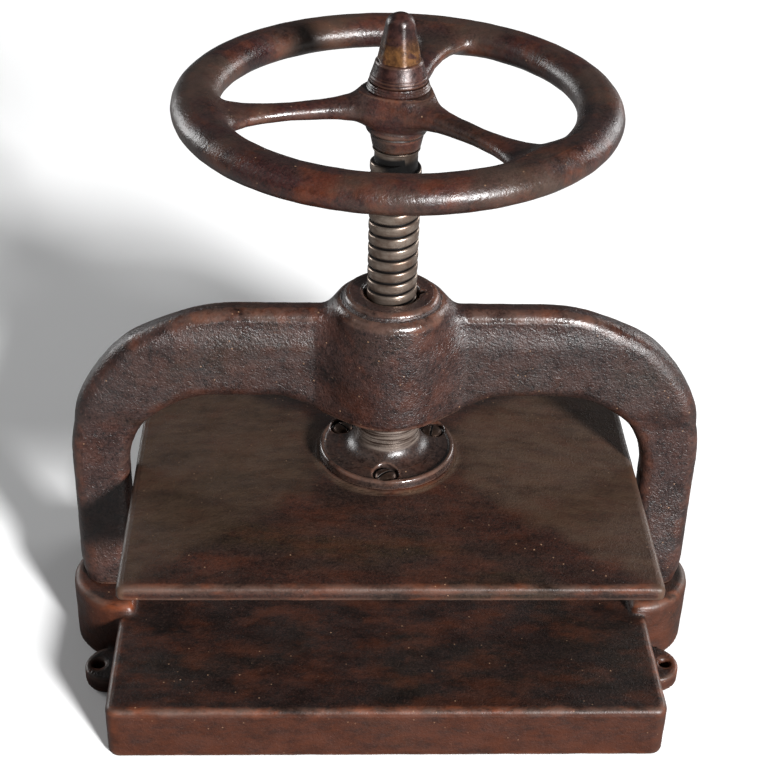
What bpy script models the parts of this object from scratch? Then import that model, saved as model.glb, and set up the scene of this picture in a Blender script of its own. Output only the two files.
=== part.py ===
"""Cast-iron bookbinding press (nipping press) with a hand-wheel, square-thread screw and drop platen.

Units are metres and +Z is up. The origin is the middle of the bed's footprint on the bench, X runs
across the press from leg to leg, and -Y is the working side. The screw axis is the Z axis. The press
is drawn with the platen wound fully up.
"""
import math

import bmesh
import bpy
from mathutils import Matrix, Vector

# Bed casting: plate, skirt, leg pads and bolt-down ears
BED_WIDTH = 0.3300
BED_DEPTH = 0.2410
BED_HEIGHT = 0.0375
BED_CORNER = 0.0070
BED_EDGE = 0.0040
BED_SKIRT = 0.0090
BED_PLATE = 0.0095
RIB = 0.0070
BAYS_ACROSS = 3
BAYS_DEEP = 2
PAD_CENTRE = 0.1600
PAD_RADIUS = 0.0365
PAD_HEIGHT = 0.0445
PAD_EDGE = 0.0050
PAD_INNER = 0.1552
PAD_WEB = 0.0145
PAD_POCKET_RADIUS = 0.0140
EAR_X = 0.1705
EAR_Y = 0.0505
EAR_RADIUS = 0.0155
EAR_HEIGHT = 0.0105
EAR_EDGE = 0.0015
EAR_HOLE_X = 0.1775
EAR_HOLE_RADIUS = 0.0035

# Arch casting: two legs, two arms and the boss for the screw
LEG_INNER = 0.1565
LEG_OUTER = 0.1895
LEG_STRAIGHT_TOP = 0.1280
ARM_UNDERSIDE = 0.1840
ARM_TOP = 0.2400
ARM_THICKNESS = 0.0175
ARM_EDGE = 0.0062
ARM_ROOT = 0.0560
INNER_CORNER = 0.0550
OUTER_CORNER_X = 0.1015
OUTER_CORNER_Z = 0.1045
FOOT_THICKNESS = 0.0300
FOOT_STEP_IN = 0.0030
FOOT_EDGE = 0.0110
BOSS_BOTTOM = 0.1728
BOSS_TOP = 0.2500
BOSS_RADIUS = 0.0334
BOSS_MOUTH_RADIUS = 0.0164
BOSS_SHOULDER = 0.2433
BOSS_STEP = 0.0034
BOSS_STEP_RADIUS = 0.0276
NOTCH_RADIUS = 0.0022
NOTCH_DEPTH = 0.0040
NOTCH_X = 0.0172

# Screw, its nut and the lock screw
SCREW_RADIUS = 0.014288
SCREW_PITCH = 0.0254 / 3.5
THREAD_DEPTH = 0.0026
CREST_SHARE = 0.70
FLANK_SHARE = 0.04
THREAD_BOTTOM = 0.1732
THREAD_TOP = 0.3372
THREAD_SIDES = 18
STEM_RADIUS = 0.0095
STEM_BOTTOM = 0.1298
SEAT_RADIUS = 0.0110
SEAT_TOP = 0.3738
SHOULDER_RADIUS = 0.0138
STUD_RADIUS = 0.0072
STUD_TOP = 0.4015
END_CHAMFER = 0.0010
SHOULDER_CHAMFER = 0.0008
NUT_RADIUS = 0.0200
NUT_BOTTOM = 0.1733
NUT_TOP = 0.2430
NUT_BORE = 0.0147
LOCK_Z = 0.2300
LOCK_RADIUS = 0.0030
LOCK_TIP_Y = 0.0178
LOCK_HEAD_Y = 0.0318
LOCK_SLOT_DEPTH = 0.0012
LOCK_SLOT_HALF = 0.0005

# Hand-wheel, key, washer and finial nut
WHEEL_Z = 0.3650
RIM_RADIUS = 0.1078
RIM_HALF_WIDTH = 0.0128
RIM_HALF_HEIGHT = 0.0095
SPOKE_ANGLES = (192.0, 72.5, -46.5)
RIM_SECTIONS = 48
RIM_SIDES = 14
SPOKE_SIDES = 12
HUB_BORE = 0.0113
HUB_TOP = 0.3742
HUB_BOTTOM = 0.3408
KEY_WIDTH = 0.0050
KEY_INNER = 0.0088
KEY_OUTER = 0.0136
KEY_BOTTOM = 0.3470
KEY_TOP = 0.3725
WASHER_RADIUS = 0.0165
WASHER_EDGE = 0.0006
WASHER_TOP = 0.3782
FINIAL_BOTTOM = 0.3785
FINIAL_FLATS_BOTTOM = 0.3910
FINIAL_FLATS_TOP = 0.4055
FINIAL_TOP = 0.4155
FINIAL_ARRIS = 0.0120
FINIAL_ARRIS_TOP = 0.0092
FINIAL_SIDES = 24
STUD_HOLE_SPARE = 0.0010
FINIAL_TWIST = math.radians(-80.0)

# Platen, its retaining flange and the thrust parts under the screw
PLATEN_WIDTH = 0.3060
PLATEN_DEPTH = 0.2342
PLATEN_BOTTOM = 0.1180
PLATEN_RIM_TOP = 0.1278
PLATEN_SEAT_TOP = 0.1381
PLATEN_SEAT_RADIUS = 0.0425
PLATEN_EDGE = 0.0030
PLATEAU_WIDTH = 0.0840
PLATEAU_DEPTH = 0.0640
PLATEAU_BELOW_SEAT = 0.0002
SEAT_SINK = 0.0060
SEAT_EDGE = 0.0010
SOCKET_RADIUS = 0.0150
SOCKET_FLOOR = 0.1260
FLANGE_BOTTOM = 0.1384
FLANGE_RIM_TOP = 0.1447
FLANGE_RADIUS = 0.0408
FLANGE_TOP = 0.1720
FLANGE_BORE = 0.0099
FLANGE_SCREW_CIRCLE = 0.0315
FLANGE_SCREW_ANGLES = (-93.0, 27.0, 147.0)
FLANGE_SCREW_SEAT = 0.1412
FLANGE_SCREW_HEAD = 0.0066
FLANGE_SCREW_SHANK = 0.0025
FLANGE_SCREW_DOME = 0.0036
FLANGE_SCREW_SLOT_HALF = 0.0006
FLANGE_SCREW_SLOT_FLOOR = 0.0018
FLANGE_SCREW_TURN = 47.0
FIRST_SLOT_ANGLE = 35.0
FLANGE_SCREW_TIP = 0.1285
SCREW_HOLE_SPARE = 0.0010
COUNTERBORE_RADIUS = 0.0077
COUNTERBORE_TOP = 0.1507
THRUST_RADIUS = 0.0138
THRUST_COLLAR_BOTTOM = 0.1310
THRUST_COLLAR_TOP = 0.1380
COLLAR_PIN_RADIUS = 0.0015
COLLAR_PIN_SHY = 0.0004

# Bolts that hold the arch down on the pads, from inside the pads
FOOT_BOLT_X = 0.1735
FOOT_BOLT_RADIUS = 0.0047
FOOT_BOLT_TIP = 0.0690
FOOT_BOLT_HEAD_BOTTOM = 0.0200
FOOT_BOLT_HEAD_TOP = 0.0272
FOOT_BOLT_FLATS = 0.0160
FOOT_WASHER_RADIUS = 0.0105
FOOT_WASHER_TOP = 0.0297
BOLT_CHAMFER = 0.0010

# Materials: (colour, roughness, metallic value)
DARK_IRON = ((0.085, 0.058, 0.047), 0.52, 0.55)
WHEEL_IRON = ((0.080, 0.045, 0.038), 0.38, 0.55)
WORN_STEEL = ((0.30, 0.27, 0.24), 0.36, 1.0)
BRONZE = ((0.30, 0.18, 0.09), 0.40, 1.0)

GAP = 0.0003
OVERRUN = 0.0020
ROUND = 32
SMALL_ROUND = 20
HEX_SIDES = 24
PIN_SIDES = 12
BEND_STEPS = 9
DOME_STEPS = 4
CORNER_STEPS = 3
# How far in a round edge's halfway point lies, as a share of its radius
ROUNDING = 0.3
SMOOTH_ANGLE = math.radians(32.0)


def clear_scene():
    for old in list(bpy.data.objects):
        bpy.data.objects.remove(old, do_unlink=True)


def metal(name, colour, roughness, metallic):
    """A Principled BSDF material."""
    material = bpy.data.materials.new(name)
    material.use_nodes = True
    shader = material.node_tree.nodes["Principled BSDF"]
    shader.inputs["Base Color"].default_value = (*colour, 1.0)
    shader.inputs["Roughness"].default_value = roughness
    shader.inputs["Metallic"].default_value = metallic
    return material


def mesh_from_rings(rings, wrap=False):
    """Skin equal-length rings of points. wrap joins the last ring to the first, else the ends are capped."""
    shape = bmesh.new()
    rows = [[shape.verts.new(point) for point in ring] for ring in rings]
    count = len(rows[0])
    spans = len(rows) if wrap else len(rows) - 1
    for row in range(spans):
        lower = rows[row]
        upper = rows[(row + 1) % len(rows)]
        for side in range(count):
            after = (side + 1) % count
            shape.faces.new((lower[side], lower[after], upper[after], upper[side]))
    if not wrap:
        shape.faces.new(rows[0])
        shape.faces.new(rows[-1])
    return finished_mesh(shape)


def finished_mesh(shape):
    """Turn every face outwards and hand back a smooth-shaded mesh."""
    bmesh.ops.recalc_face_normals(shape, faces=shape.faces)
    mesh = bpy.data.meshes.new("shape")
    shape.to_mesh(mesh)
    shape.free()
    mesh.shade_smooth()
    mesh.set_sharp_from_angle(angle=SMOOTH_ANGLE)
    return mesh


def place(name, mesh, material, location=(0.0, 0.0, 0.0)):
    """Put a mesh in the scene under a piece's name."""
    piece = bpy.data.objects.new(name, mesh)
    piece.location = location
    mesh.materials.clear()
    mesh.materials.append(material)
    bpy.context.scene.collection.objects.link(piece)
    return piece


def combine(piece, others, operation):
    """Boolean each of the other meshes into the piece, which keeps its name and material."""
    for mesh in others:
        tool = bpy.data.objects.new("tool", mesh)
        bpy.context.scene.collection.objects.link(tool)
        modifier = piece.modifiers.new("combine", "BOOLEAN")
        modifier.operation = operation
        modifier.solver = "EXACT"
        modifier.object = tool
        evaluated = piece.evaluated_get(bpy.context.evaluated_depsgraph_get())
        result = bpy.data.meshes.new_from_object(evaluated)
        piece.modifiers.clear()
        piece.data = result
        bpy.data.objects.remove(tool, do_unlink=True)
    keep = piece.data.materials[0]
    piece.data.materials.clear()
    piece.data.materials.append(keep)
    for face in piece.data.polygons:
        face.material_index = 0
    piece.data.shade_smooth()
    piece.data.set_sharp_from_angle(angle=SMOOTH_ANGLE)
    return piece


def circle(radius, z, sides, centre=(0.0, 0.0), phase=0.0):
    """A level ring of points."""
    step = 2.0 * math.pi / sides
    angles = [phase + step * index for index in range(sides)]
    return [Vector((centre[0] + radius * math.cos(a), centre[1] + radius * math.sin(a), z)) for a in angles]


def hexagon(arris, z, sides, phase):
    """A level ring with the given number of points on a hexagon whose corners lie at radius arris."""
    apothem = arris * math.cos(math.pi / 6.0)
    points = []
    for index in range(sides):
        angle = 2.0 * math.pi * index / sides
        from_flat = (angle + math.pi / 6.0) % (math.pi / 3.0) - math.pi / 6.0
        radius = apothem / math.cos(math.pi / 6.0 - abs(from_flat))
        points.append(Vector((radius * math.cos(angle + phase), radius * math.sin(angle + phase), z)))
    return points


def turned(profile, sides=ROUND, wrap=False, centre=(0.0, 0.0)):
    """A turned solid from (radius, height) pairs: capped at both ends, or a closed section if wrap."""
    return mesh_from_rings([circle(radius, z, sides, centre) for radius, z in profile], wrap)


def box(low, high):
    """A box between two corners."""
    shape = bmesh.new()
    bmesh.ops.create_cube(shape, size=1.0)
    for vert in shape.verts:
        for axis in range(3):
            middle = (low[axis] + high[axis]) / 2.0
            vert.co[axis] = middle + vert.co[axis] * (high[axis] - low[axis])
    return finished_mesh(shape)


def rounded_rectangle(width, depth, corner, steps):
    """Points (u, v) round a rectangle with round corners, anticlockwise."""
    points = []
    for quarter, (sign_u, sign_v) in enumerate(((1, 1), (-1, 1), (-1, -1), (1, -1))):
        middle_u = sign_u * (width / 2.0 - corner)
        middle_v = sign_v * (depth / 2.0 - corner)
        for step in range(steps + 1):
            angle = math.pi / 2.0 * (quarter + step / steps)
            points.append((middle_u + corner * math.cos(angle), middle_v + corner * math.sin(angle)))
    return points


def rod(radius, start, end, sides=SMALL_ROUND):
    """A plain round bar between two points."""
    start = Vector(start)
    end = Vector(end)
    length = (end - start).length
    mesh = turned([(radius, 0.0), (radius, length)], sides)
    spin = Vector((0.0, 0.0, 1.0)).rotation_difference(end - start).to_matrix().to_4x4()
    mesh.transform(Matrix.Translation(start) @ spin)
    return mesh


def leg_pad(side):
    """The raised pad under one leg: part of a disc, cut straight on its inner side, with a soft top edge."""
    halfway = PAD_EDGE * ROUNDING
    rings = []
    for inset, drop in ((0.0, PAD_HEIGHT), (0.0, PAD_EDGE), (halfway, halfway), (PAD_EDGE, 0.0)):
        radius = PAD_RADIUS - inset
        reach = math.acos((PAD_INNER - PAD_CENTRE) / radius)
        ring = []
        for step in range(SMALL_ROUND + 1):
            angle = reach * (2.0 * step / SMALL_ROUND - 1.0)
            x = side * (PAD_CENTRE + radius * math.cos(angle))
            ring.append(Vector((x, radius * math.sin(angle), PAD_HEIGHT - drop)))
        rings.append(ring)
    return mesh_from_rings(rings)


def bolt_down_ear(side, front):
    """A low round ear on the bed's flank, running into the skirt."""
    centre = (side * EAR_X, front * EAR_Y)
    profile = [(EAR_RADIUS, 0.0), (EAR_RADIUS, EAR_HEIGHT - EAR_EDGE), (EAR_RADIUS - EAR_EDGE, EAR_HEIGHT)]
    return turned(profile, SMALL_ROUND, centre=centre)


def bed_bays():
    """The hollows under the bed plate, between the skirt and the ribs."""
    across = BED_WIDTH - 2.0 * BED_SKIRT
    deep = BED_DEPTH - 2.0 * BED_SKIRT
    bay_x = (across - RIB * (BAYS_ACROSS - 1)) / BAYS_ACROSS
    bay_y = (deep - RIB * (BAYS_DEEP - 1)) / BAYS_DEEP
    cuts = []
    for column in range(BAYS_ACROSS):
        for row in range(BAYS_DEEP):
            low_x = -across / 2.0 + column * (bay_x + RIB)
            low_y = -deep / 2.0 + row * (bay_y + RIB)
            cuts.append(box((low_x, low_y, -OVERRUN),
                            (low_x + bay_x, low_y + bay_y, BED_HEIGHT - BED_PLATE)))
    return cuts


def make_base(iron):
    halfway = BED_EDGE * ROUNDING
    layers = ((0.0, 0.0), (BED_HEIGHT - BED_EDGE, 0.0),
              (BED_HEIGHT - halfway, halfway), (BED_HEIGHT, BED_EDGE))
    rings = []
    for height, inset in layers:
        outline = rounded_rectangle(BED_WIDTH - 2.0 * inset, BED_DEPTH - 2.0 * inset,
                                    BED_CORNER - inset, CORNER_STEPS)
        rings.append([Vector((x, y, height)) for x, y in outline])
    base = place("base", mesh_from_rings(rings), iron)
    added = [leg_pad(side) for side in (-1, 1)]
    added += [bolt_down_ear(side, front) for side in (-1, 1) for front in (-1, 1)]
    combine(base, added, "UNION")
    cuts = bed_bays()
    for side in (-1, 1):
        centre = (side * FOOT_BOLT_X, 0.0)
        pocket_top = PAD_HEIGHT - PAD_WEB
        cuts.append(turned([(PAD_POCKET_RADIUS, -OVERRUN), (PAD_POCKET_RADIUS, pocket_top)],
                           SMALL_ROUND, centre=centre))
        bolt_way = FOOT_BOLT_RADIUS + 2.0 * GAP
        cuts.append(turned([(bolt_way, pocket_top - OVERRUN), (bolt_way, PAD_HEIGHT + OVERRUN)],
                           SMALL_ROUND, centre=centre))
        for front in (-1, 1):
            cuts.append(turned([(EAR_HOLE_RADIUS, -OVERRUN), (EAR_HOLE_RADIUS, EAR_HEIGHT + OVERRUN)],
                               SMALL_ROUND, centre=(side * EAR_HOLE_X, front * EAR_Y)))
    return combine(base, cuts, "DIFFERENCE")


def arch_stations():
    """Half of the arch, from the right foot to the middle: (inner point, outer point, thickness, edge)."""
    foot = PAD_HEIGHT + GAP
    stations = [
        ((LEG_INNER, foot), (LEG_OUTER - FOOT_STEP_IN, foot), FOOT_THICKNESS, FOOT_EDGE),
        ((LEG_INNER, 0.0620), (LEG_OUTER, 0.0620), 0.0265, 0.0100),
        ((LEG_INNER, 0.0900), (LEG_OUTER, 0.0920), 0.0215, 0.0080),
        ((LEG_INNER, LEG_STRAIGHT_TOP), (LEG_OUTER, ARM_TOP - OUTER_CORNER_Z), ARM_THICKNESS, ARM_EDGE),
    ]
    for step in range(1, BEND_STEPS + 1):
        angle = math.pi / 2.0 * step / BEND_STEPS
        inner = (LEG_INNER - INNER_CORNER * (1.0 - math.cos(angle)),
                 LEG_STRAIGHT_TOP + (ARM_UNDERSIDE - LEG_STRAIGHT_TOP) * math.sin(angle))
        outer = (LEG_OUTER - OUTER_CORNER_X * (1.0 - math.cos(angle)),
                 ARM_TOP - OUTER_CORNER_Z * (1.0 - math.sin(angle)))
        stations.append((inner, outer, ARM_THICKNESS, ARM_EDGE))
    stations += [
        ((ARM_ROOT, ARM_UNDERSIDE), (ARM_ROOT, ARM_TOP), ARM_THICKNESS, ARM_EDGE),
        ((0.0450, 0.1815), (0.0450, ARM_TOP + 0.0002), 0.0225, 0.0075),
        ((0.0360, 0.1775), (0.0360, ARM_TOP + 0.0020), 0.0330, 0.0090),
        ((0.0250, 0.1750), (0.0250, ARM_TOP + 0.0040), 0.0430, 0.0100),
    ]
    return stations


def arch_ring(station, side):
    """One section of the arch: a soft-edged rectangle square to the arm, standing in the X-Z plane."""
    inner, outer, thickness, edge = station
    low = Vector((side * inner[0], 0.0, inner[1]))
    high = Vector((side * outer[0], 0.0, outer[1]))
    along = (high - low).normalized()
    middle = (low + high) / 2.0
    outline = rounded_rectangle((high - low).length, thickness, edge, CORNER_STEPS)
    return [middle + along * u + Vector((0.0, side * v, 0.0)) for u, v in outline]


def boss_profile():
    """The boss round the screw, bottom to top: soft lower rim, straight side, then two soft steps."""
    step_z = BOSS_TOP - BOSS_STEP
    return [(BOSS_RADIUS - 0.0049, BOSS_BOTTOM), (BOSS_RADIUS - 0.0019, BOSS_BOTTOM + 0.0010),
            (BOSS_RADIUS, BOSS_BOTTOM + 0.0045), (BOSS_RADIUS, step_z - 0.0036),
            (BOSS_RADIUS - 0.0012, step_z - 0.0012), (BOSS_RADIUS - 0.0036, step_z),
            (BOSS_STEP_RADIUS + 0.0006, step_z), (BOSS_STEP_RADIUS, step_z + 0.0008),
            (BOSS_STEP_RADIUS - 0.0006, BOSS_TOP - 0.0010), (BOSS_STEP_RADIUS - 0.0022, BOSS_TOP)]


def make_arch(iron):
    stations = arch_stations()
    rings = [arch_ring(station, 1) for station in stations]
    rings += [[Vector((-p.x, p.y, p.z)) for p in ring] for ring in reversed(rings)]
    arch = place("arch", mesh_from_rings(rings), iron)
    combine(arch, [turned(boss_profile(), ROUND)], "UNION")
    nut_way = NUT_RADIUS + GAP
    bore = turned([(nut_way, BOSS_BOTTOM - OVERRUN), (nut_way, BOSS_SHOULDER),
                   (BOSS_MOUTH_RADIUS, BOSS_SHOULDER), (BOSS_MOUTH_RADIUS, BOSS_TOP + OVERRUN)], ROUND)
    notch = turned([(NOTCH_RADIUS, BOSS_TOP - NOTCH_DEPTH), (NOTCH_RADIUS, BOSS_TOP + OVERRUN)],
                   SMALL_ROUND, centre=(NOTCH_X, 0.0))
    lock_way = rod(LOCK_RADIUS + GAP, (0.0, NUT_RADIUS - OVERRUN, LOCK_Z),
                   (0.0, BOSS_RADIUS + OVERRUN, LOCK_Z))
    bolt_ways = [rod(FOOT_BOLT_RADIUS + GAP, (side * FOOT_BOLT_X, 0.0, PAD_HEIGHT - OVERRUN),
                     (side * FOOT_BOLT_X, 0.0, FOOT_BOLT_TIP + OVERRUN)) for side in (-1, 1)]
    return combine(arch, [bore, notch, lock_way] + bolt_ways, "DIFFERENCE")


def make_spindle_nut(bronze):
    section = [(NUT_BORE, NUT_BOTTOM), (NUT_RADIUS, NUT_BOTTOM), (NUT_RADIUS, NUT_TOP), (NUT_BORE, NUT_TOP)]
    nut = place("spindle_nut", turned(section, ROUND, wrap=True), bronze)
    dimple = rod(LOCK_RADIUS + GAP, (0.0, LOCK_TIP_Y - GAP, LOCK_Z), (0.0, NUT_RADIUS + OVERRUN, LOCK_Z))
    return combine(nut, [dimple], "DIFFERENCE")


def make_nut_lock_screw(steel):
    shank = rod(LOCK_RADIUS, (0.0, LOCK_TIP_Y, LOCK_Z), (0.0, LOCK_HEAD_Y, LOCK_Z))
    screw = place("nut_lock_screw", shank, steel)
    slot = box((-LOCK_RADIUS - OVERRUN, LOCK_HEAD_Y - LOCK_SLOT_DEPTH, LOCK_Z - LOCK_SLOT_HALF),
               (LOCK_RADIUS + OVERRUN, LOCK_HEAD_Y + OVERRUN, LOCK_Z + LOCK_SLOT_HALF))
    return combine(screw, [slot], "DIFFERENCE")


def make_foot_bolts(steel):
    shank = [(FOOT_BOLT_RADIUS - BOLT_CHAMFER, FOOT_BOLT_TIP),
             (FOOT_BOLT_RADIUS, FOOT_BOLT_TIP - BOLT_CHAMFER),
             (FOOT_BOLT_RADIUS, FOOT_BOLT_HEAD_TOP)]
    arris = FOOT_BOLT_FLATS / 2.0 / math.cos(math.pi / 6.0)
    rings = [circle(radius, z, HEX_SIDES) for radius, z in shank]
    rings += [hexagon(arris, z, HEX_SIDES, 0.0) for z in (FOOT_BOLT_HEAD_TOP, FOOT_BOLT_HEAD_BOTTOM)]
    bolt = mesh_from_rings(rings)
    washer_hole = FOOT_BOLT_RADIUS + GAP
    washer_bottom = FOOT_BOLT_HEAD_TOP + GAP
    washer = turned([(washer_hole, washer_bottom), (FOOT_WASHER_RADIUS, washer_bottom),
                     (FOOT_WASHER_RADIUS, FOOT_WASHER_TOP), (washer_hole, FOOT_WASHER_TOP)],
                    SMALL_ROUND, wrap=True)
    for side, word in ((-1, "left"), (1, "right")):
        spot = (side * FOOT_BOLT_X, 0.0, 0.0)
        place("foot_bolt_" + word, bolt, steel, spot)
        place("foot_washer_" + word, washer, steel, spot)


def thread_rings(shape):
    """Build a right-hand square thread as one helical strip, and return its bottom and top rim vertices.

    The strip covers one pitch in height and is swept up the helix. Its lower rim is the first turn's
    root line and its upper rim the last turn's, and the thread swells from the root over half a turn.
    """
    root = SCREW_RADIUS - THREAD_DEPTH
    gap_share = 1.0 - CREST_SHARE - 2.0 * FLANK_SHARE
    rise = gap_share / 2.0
    shares = (0.0, rise, rise + FLANK_SHARE, rise + FLANK_SHARE + CREST_SHARE, 1.0 - rise)
    raised = (0.0, 0.0, 1.0, 1.0, 0.0)
    room = THREAD_TOP - THREAD_BOTTOM - 2.0 * SCREW_PITCH
    count = int(room / SCREW_PITCH * THREAD_SIDES)
    run_out = THREAD_SIDES // 2
    columns = []
    for index in range(count + 1):
        angle = 2.0 * math.pi * index / THREAD_SIDES
        swell = min(1.0, (min(index, count - index) + 0.5) / run_out)
        base_z = THREAD_BOTTOM + SCREW_PITCH * (0.5 + index / THREAD_SIDES)
        column = []
        for share, height in zip(shares, raised):
            if index >= THREAD_SIDES and share == 0.0:
                column.append(None)
                continue
            radius = root + THREAD_DEPTH * height * swell
            column.append(shape.verts.new((radius * math.cos(angle), radius * math.sin(angle),
                                           base_z + SCREW_PITCH * share)))
        columns.append(column)
    for index in range(count + 1):
        top_index = index + THREAD_SIDES
        if top_index <= count:
            columns[top_index][0] = None
    tops = []
    for index in range(count + 1):
        angle = 2.0 * math.pi * index / THREAD_SIDES
        tops.append(shape.verts.new((root * math.cos(angle), root * math.sin(angle),
                                     THREAD_BOTTOM + SCREW_PITCH * (1.5 + index / THREAD_SIDES))))
    for index, column in enumerate(columns):
        if column[0] is None:
            column[0] = tops[index - THREAD_SIDES]
        column.append(tops[index])
    for left, right in zip(columns, columns[1:]):
        for row in range(len(left) - 1):
            shape.faces.new((left[row], right[row], right[row + 1], left[row + 1]))
    return columns


def close_thread_end(shape, columns, rim, at_top):
    """Join the helical edge at one end of the thread to a level ring, with one stepped face at its start."""
    first = len(columns) - 1 - THREAD_SIDES if at_top else 0
    pick = -1 if at_top else 0
    for step in range(THREAD_SIDES):
        after = (step + 1) % THREAD_SIDES
        left = columns[first + step][pick]
        right = columns[first + step + 1][pick]
        if at_top and step == 0:
            face = [rim[step], rim[after], right] + columns[-1]
        elif not at_top and after == 0:
            face = [rim[step], rim[after]] + columns[0][:-1] + [right, left]
        else:
            face = [rim[step], rim[after], right, left]
        shape.faces.new(face)


def level_ring(shape, radius, z, first_index=0):
    """Vertices of a level ring whose sides line up with the thread's."""
    step = 2.0 * math.pi / THREAD_SIDES
    angles = [step * (first_index + index) for index in range(THREAD_SIDES)]
    return [shape.verts.new((radius * math.cos(a), radius * math.sin(a), z)) for a in angles]


def add_turned_end(shape, rim, profile, first_index):
    """Carry a ring of vertices on through (radius, height) pairs and cap it."""
    lower = rim
    for radius, z in profile:
        upper = level_ring(shape, radius, z, first_index)
        for side in range(THREAD_SIDES):
            after = (side + 1) % THREAD_SIDES
            shape.faces.new((lower[side], lower[after], upper[after], upper[side]))
        lower = upper
    shape.faces.new(lower)


def make_spindle(steel):
    """The screw: plain stem below, square thread, shoulder, wheel seat and stud, all one piece."""
    root = SCREW_RADIUS - THREAD_DEPTH
    shape = bmesh.new()
    columns = thread_rings(shape)
    top_index = len(columns) - 1 - THREAD_SIDES
    bottom_rim = level_ring(shape, root, THREAD_BOTTOM)
    top_rim = level_ring(shape, root, THREAD_TOP, top_index)
    close_thread_end(shape, columns, bottom_rim, at_top=False)
    close_thread_end(shape, columns, top_rim, at_top=True)
    stem = [(STEM_RADIUS, THREAD_BOTTOM - SHOULDER_CHAMFER), (STEM_RADIUS, STEM_BOTTOM + END_CHAMFER),
            (STEM_RADIUS - END_CHAMFER, STEM_BOTTOM)]
    add_turned_end(shape, bottom_rim, stem, 0)
    shoulder_top = HUB_BOTTOM - GAP
    upper = [(SHOULDER_RADIUS, THREAD_TOP + SHOULDER_CHAMFER),
             (SHOULDER_RADIUS, shoulder_top - SHOULDER_CHAMFER),
             (SEAT_RADIUS, shoulder_top), (SEAT_RADIUS, SEAT_TOP), (STUD_RADIUS, SEAT_TOP),
             (STUD_RADIUS, STUD_TOP - END_CHAMFER), (STUD_RADIUS - END_CHAMFER, STUD_TOP)]
    add_turned_end(shape, top_rim, upper, top_index)
    spindle = place("spindle", finished_mesh(shape), steel)
    keyway = box((-KEY_WIDTH / 2.0 - GAP, KEY_INNER - GAP, KEY_BOTTOM - GAP),
                 (KEY_WIDTH / 2.0 + GAP, SEAT_RADIUS + OVERRUN, KEY_TOP + GAP))
    return combine(spindle, [keyway, collar_pin_way()], "DIFFERENCE")


def collar_pin_way():
    """The cross hole for the pin, through the collar and the screw's foot."""
    pin_z = (THRUST_COLLAR_BOTTOM + THRUST_COLLAR_TOP) / 2.0
    reach = THRUST_RADIUS + OVERRUN
    return rod(COLLAR_PIN_RADIUS + GAP, (-reach, 0.0, pin_z), (reach, 0.0, pin_z))


def oval_ring(centre, across, half_across, half_up, sides):
    """An upright oval of points round a centre, spanned by the level direction across and +Z."""
    points = []
    for index in range(sides):
        angle = 2.0 * math.pi * index / sides
        points.append(centre + across * (half_across * math.cos(angle)) +
                      Vector((0.0, 0.0, half_up * math.sin(angle))))
    return points


def rim_mesh():
    """The wheel's rim: an oval section swept round the axis."""
    rings = []
    for index in range(RIM_SECTIONS):
        angle = 2.0 * math.pi * index / RIM_SECTIONS
        outward = Vector((math.cos(angle), math.sin(angle), 0.0))
        centre = outward * RIM_RADIUS + Vector((0.0, 0.0, WHEEL_Z))
        rings.append(oval_ring(centre, outward, RIM_HALF_WIDTH, RIM_HALF_HEIGHT, RIM_SIDES))
    return mesh_from_rings(rings, wrap=True)


def spoke_mesh(degrees):
    """One spoke, an oval bar that flares into the hub and into the rim."""
    heading = math.radians(degrees)
    outward = Vector((math.cos(heading), math.sin(heading), 0.0))
    across = Vector((-math.sin(heading), math.cos(heading), 0.0))
    sections = ((0.0060, 0.0112, 0.0090), (0.0170, 0.0110, 0.0087), (0.0260, 0.0086, 0.0067),
                (0.0400, 0.0068, 0.0052), (0.0580, 0.0063, 0.0045), (0.0720, 0.0074, 0.0046),
                (0.0830, 0.0102, 0.0052), (0.0920, 0.0146, 0.0062), (0.1000, 0.0200, 0.0074))
    rings = [oval_ring(outward * reach + Vector((0.0, 0.0, WHEEL_Z)), across, wide, high, SPOKE_SIDES)
             for reach, wide, high in sections]
    return mesh_from_rings(rings)


def hub_profile():
    """The hub, bottom to top: a waisted neck, a step, and a belly where the spokes spring."""
    return [(0.0124, HUB_BOTTOM), (0.0134, HUB_BOTTOM + 0.0017), (0.0143, HUB_BOTTOM + 0.0057),
            (0.0145, HUB_BOTTOM + 0.0105), (0.0156, HUB_BOTTOM + 0.0125), (0.0174, WHEEL_Z - 0.0070),
            (0.0184, WHEEL_Z), (0.0180, WHEEL_Z + 0.0055), (0.0170, HUB_TOP - 0.0010), (0.0163, HUB_TOP)]


def make_handwheel(iron):
    wheel = place("handwheel", rim_mesh(), iron)
    combine(wheel, [spoke_mesh(degrees) for degrees in SPOKE_ANGLES], "UNION")
    combine(wheel, [turned(hub_profile(), ROUND)], "UNION")
    bore = turned([(HUB_BORE, HUB_BOTTOM - OVERRUN), (HUB_BORE, HUB_TOP + OVERRUN)], ROUND)
    keyway = box((-KEY_WIDTH / 2.0 - GAP, 0.0, KEY_BOTTOM - GAP),
                 (KEY_WIDTH / 2.0 + GAP, KEY_OUTER + GAP, HUB_TOP + OVERRUN))
    return combine(wheel, [bore, keyway], "DIFFERENCE")


def make_wheel_key(steel):
    key = box((-KEY_WIDTH / 2.0, KEY_INNER, KEY_BOTTOM), (KEY_WIDTH / 2.0, KEY_OUTER, KEY_TOP))
    return place("wheel_key", key, steel)


def make_hub_washer(steel):
    hole = STUD_RADIUS + GAP
    bottom = HUB_TOP + GAP
    section = [(hole, bottom), (WASHER_RADIUS, bottom), (WASHER_RADIUS, WASHER_TOP - WASHER_EDGE),
               (WASHER_RADIUS - WASHER_EDGE, WASHER_TOP), (hole, WASHER_TOP)]
    return place("hub_washer", turned(section, ROUND, wrap=True), steel)


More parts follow.
